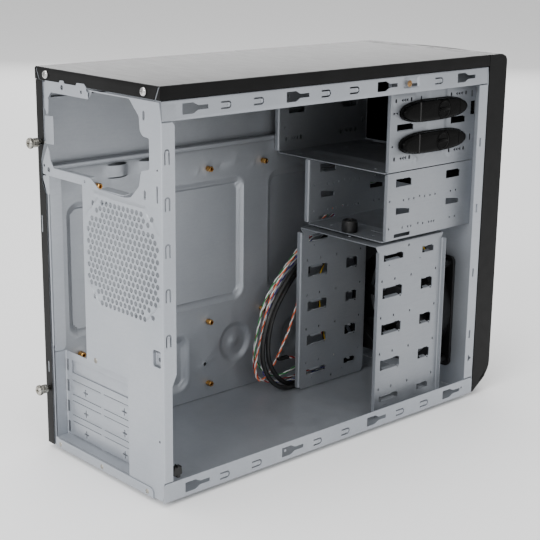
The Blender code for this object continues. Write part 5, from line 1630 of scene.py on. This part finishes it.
def bezel():
    """The moulded front: a crowned face that rolls over into the roof and tucks in at the chin."""
    back = FRONT - 0.3
    top = node_box("front_bezel")[1].z
    chin = [(FRONT - 21.0, 14.0), (BEZEL_FRONT, 24.0)]
    line = [(back - 1.4, 0.95), chin[0], chin[1], (BEZEL_FRONT, top), (back, top)]
    starts = [0.0]
    for a, b in zip(line, line[1:]):
        starts.append(starts[-1] + math.hypot(b[0] - a[0], b[1] - a[1]))

    def at(z):
        return starts[2] + z - chin[1][1]
    loops = [[(0.0, -HALF_W + 0.02), (starts[-1], -HALF_W + 0.02), (starts[-1], HALF_W - 0.02),
              (0.0, HALF_W - 0.02)]]
    loops += [[(at(z), x) for x, z in opening] for opening in bezel_openings()]

    def relief(s, t):
        share = np.clip((s - starts[1]) / (starts[2] - starts[1]), 0, 1) * (s <= starts[2])
        share = share + (s > starts[2]) * np.clip((starts[3] - 2 - s) / 9 + 1, 0, 1)
        shape = ease(share) * 4.0 * (1 - (t / HALF_W) ** 2)
        z = s - starts[2] + chin[1][1]
        edge = -0.55 * ease((2.2 - (HALF_W - np.abs(t))) / 2.2) * (s > starts[1]) * (s < starts[3])
        scoop = -1.6 * ease(1 - np.abs(z - 176.0) / 3.0) * ease((78 - np.abs(t)) / 6)
        rim = 0.0
        for name in BEZEL_HOLES:
            a, b = node_box(name)
            rim = rim - 0.7 * ease((2.6 - box_distance(t, z, a.x, b.x, a.z, b.z, 3)) / 2.2)
        ring = -0.9 * ease((13.2 - np.hypot(t - POWER[0], z - POWER[1])) / 2.6)
        seams = -0.5 * ease((0.8 - np.abs(z - 246.0)) / 0.5)
        seams = seams - 0.5 * ease((0.8 - np.abs(z - 198.6)) / 0.5) * (t > 33)
        return shape + edge + scoop + rim + ring + seams
    shell = sheet("X", line, loops, side=1, thick=2.4, bend=[5.0, 6.0, 10.5], relief=relief, grid=3.0,
                  bend_steps=8)
    outline = [(back, 0.6)] + softened([(FRONT - 21.0 + 0.6, 14.4), (BEZEL_FRONT + 0.5, 24.4),
                                        (BEZEL_FRONT + 0.5, top - 5), (BEZEL_FRONT + 5, top - 0.5)], 5, 5)
    outline += [(back, top - 0.5)]
    wall = prism("X", -HALF_W, -HALF_W + 2.4, outline)
    sides = [wall, mirrored(wall)]
    ribs = [block(-HALF_W + 3, HALF_W - 3, FRONT - 3.0, FRONT - 1.6, z, z + 1.6)
            for z in (144.0, 245.0, 341.0)]
    piece("front_bezel_shell", "chassis", [shell] + sides + ribs, BEZEL, ("front_bezel",), bevel=0.3, steps=2)


def rim_fall(s, t, low, high, width):
    """The rounded fall towards the edges of a plate that fills a box."""
    to_side = np.minimum(s - low.x, high.x - s)
    to_end = np.minimum(t - low.z, high.z - t)
    return -0.8 * ease((width - np.minimum(to_side, to_end)) / width)


def bay_covers():
    """Snap-in bay covers with a finger groove, on the flanges that they seat in."""
    for name in ("bay_cover_upper", "bay_cover_lower", "bay_cover_small"):
        a, b = node_box(name)
        groove_z = a.z + (b.z - a.z) * 0.16
        middle, reach = (a.x + b.x) / 2, (b.x - a.x) / 2 - 7

        def relief(s, t, a=a, b=b, groove_z=groove_z, middle=middle, reach=reach):
            groove = -0.9 * ease((1.1 - np.abs(t - groove_z)) / 0.9) * ease((reach - np.abs(s - middle)) / 3)
            return groove + rim_fall(s, t, a, b, 1.6)
        plate = crowned([rounded(a.x, b.x, a.z, b.z, 2.2, 5)], BEZEL_FRONT + 0.3, 3.4, relief, 1.8, a.z)
        piece(name + "_plate", "chassis", [plate], BEZEL, (name,))
    upper, lower, small = (node_box("bay_cover_" + name) for name in ("upper", "lower", "small"))
    frames = (("wide", lower[0], upper[1]), ("small", small[0], small[1]))
    for name, a, b in frames:
        flange = crowned([rounded(a.x - 1.6, b.x + 1.6, a.z - 1.6, b.z + 1.6, 2.5, 5)], BEZEL_FRONT + 3.9,
                         0.8, None,
                         4.0, a.z - 1.6)
        piece("bay_cover_" + name + "_flange", "chassis", [flange], BEZEL,
              slot="bay_cover_upper" if name == "wide" else "bay_cover_small")


def front_grille():
    """The intake grille with its slits, and the dust net behind it."""
    a, b = node_box("front_grille")
    loops = [rounded(a.x, b.x, a.z, b.z, 6.6, 8)]
    for k in range(13):
        z = 36.0 + 8 * k
        for x0, x1 in ((a.x + 6, -21), (-18.5, 18.5), (21, b.x - 6)):
            loops.append(rounded(x0, x1, z, z + 4.4, 2.1, 4))

    def relief(s, t):
        return rim_fall(s, t, a, b, 2.0)
    plate = crowned(loops, BEZEL_FRONT + 0.3, 3.0, relief, 3.0, a.z)
    mesh_back = BEZEL_FRONT + 7.0
    bars = []
    for x in (-59.4 + NET_PITCH * k for k in range(67)):
        bars.append(block(x - NET_HALF, x + NET_HALF, mesh_back, mesh_back + 0.7, a.z + 3, b.z - 3))
    for z in (a.z + 4 + NET_PITCH * k for k in range(58)):
        bars.append(block(-60, 60, mesh_back + 0.5, mesh_back + 1.2, z - NET_HALF, z + NET_HALF))
    piece("front_grille_plate", "chassis", [plate], BEZEL, ("front_grille",))
    piece("front_dust_mesh", "chassis", bars, HOUSING, slot="front_grille")


def buttons():
    """The power button in its bright ring, and the reset button."""
    low, high = node_box("power_button")
    y = low.y
    profile = ((8.6, high.y), (8.95, y + 1.4), (8.8, y + 0.7), (8.2, y + 0.25), (7.2, y), (6.4, y + 0.15),
               (5.2, y + 0.55), (2.0, y + 0.75))
    piece("power_button_cap", "power_button", [turned("Y", POWER, profile, 56)], GLOSS, ("power_button",))
    ring = turned("Y", POWER,
                  ((9.35, y + 3.4), (10.6, y + 1.4), (10.4, y + 0.75), (9.7, y + 0.7), (9.3, y + 1.1),
                               (9.25, y + 3.2)), 56)
    bore = prism("Y", y - 1, y + 5, disc(POWER, 9.3, 56))
    piece("power_button_ring", "chassis", [ring], NICKEL, slot="power_button", cutters=[bore])
    low, high = node_box("reset_button")
    y = low.y
    profile = ((2.9, high.y), (3.0, y + 0.6), (2.7, y + 0.15), (2.1, y), (1.2, y + 0.12))
    piece("reset_button_cap", "reset_button", [turned("Y", RESET, profile, 32)], GLOSS, ("reset_button",))


def lamp_lens():
    low, high = node_box("lamp_lens")
    rings = []
    for y, inset in ((high.y, 0.1), (low.y + 0.5, 0.0), (low.y + 0.15, 0.15), (low.y, 0.5)):
        rings.append([(a, y, b)
                      for a, b in rounded(low.x + inset, high.x - inset, low.z + inset, high.z - inset,
                                                    1.4 - inset * 0.6, 6)])
    piece("lamp_lens_window", "chassis", [loft(rings)], LENS, ("lamp_lens",))


def ports():
    """The USB and audio sockets in their block behind the bezel."""
    low, high = node_box("port_block")
    face = low.y
    plate = sheet("Z", [(35.2, face), (72.8, face)],
                  [rounded(0, 37.6, PORTS_Z - 5.4, PORTS_Z + 5.4, 2.2, 5),
                   rect(3.4, 16.7, PORTS_Z - 2.8, PORTS_Z + 2.8),
                   disc((23.8, PORTS_Z), 2.05, 24), disc((32.8, PORTS_Z), 2.05, 24)], side=-1, thick=1.4)
    shell = block(35.4, 72.6, face + 9.0, high.y, PORTS_Z - 5.4, PORTS_Z + 5.4)
    sleeve = [block(38.2, 38.6, face + 0.5, face + 9.2, PORTS_Z - 3.2, PORTS_Z + 3.2),
              block(51.9, 52.3, face + 0.5, face + 9.2, PORTS_Z - 3.2, PORTS_Z + 3.2),
              block(38.2, 52.3, face + 0.5, face + 9.2, PORTS_Z + 2.8, PORTS_Z + 3.2),
              block(38.2, 52.3, face + 0.5, face + 9.2, PORTS_Z - 3.2, PORTS_Z - 2.8)]
    walls = [block(35.4, 72.6, face + 1.2, face + 9.2, PORTS_Z + way * 5.4 - 0.5, PORTS_Z + way * 5.4 + 0.5)
             for way in (-1, 1)]
    carrier = block(36.5, 71.5, FRONT - 6.0, high.y, PORTS_Z + 5, high.z)
    piece("port_block_face", "chassis", [plate, shell, carrier] + walls, HOUSING, ("port_block",),
          bevel=0.15, steps=1)
    tongue = block(40.0, 50.5, face + 0.8, face + 9.2, PORTS_Z + 0.3, PORTS_Z + 1.9)
    piece("port_socket_tongue", "chassis", [tongue], NYLON, slot="port_block", bevel=0.15)
    pins = [block(x - 0.4, x + 0.4, face + 1.4, face + 9.0, PORTS_Z + 0.05, PORTS_Z + 0.35)
            for x in (41.7, 44.0, 46.5, 48.8)]
    barrels = [turned("Y", (x, PORTS_Z),
                      ((2.05, face + 9.1), (3.0, face + 9.0), (3.0, face + 0.35), (2.6, face + 0.05),
                                          (2.1, face + 0.2), (1.95, face + 0.6)), 32) for x in (59.0, 68.0)]
    holes = [prism("Y", face - 1, face + 8.6, disc((x, PORTS_Z), 1.75, 24)) for x in (59.0, 68.0)]
    piece("port_sleeve", "chassis", sleeve + pins, TIN, slot="port_block")
    piece("port_jacks", "chassis", barrels, NICKEL, slot="port_block", cutters=holes)


camera()
studio()
cords()
floor_pan()
rear_panel()
slot_frame()
motherboard_tray()
standoffs()
top_rails()
front_panel()
top_cover()
side_panel()
drive_cage_525()
drive_cage_35()
hdd_cage()
thumbscrews()
pan_screws()
cage_thumbscrew()
drive_clips()
corner_clip()
feet()
fan_frame()
fan_rotor()
bezel()
bay_covers()
front_grille()
buttons()
lamp_lens()
ports()
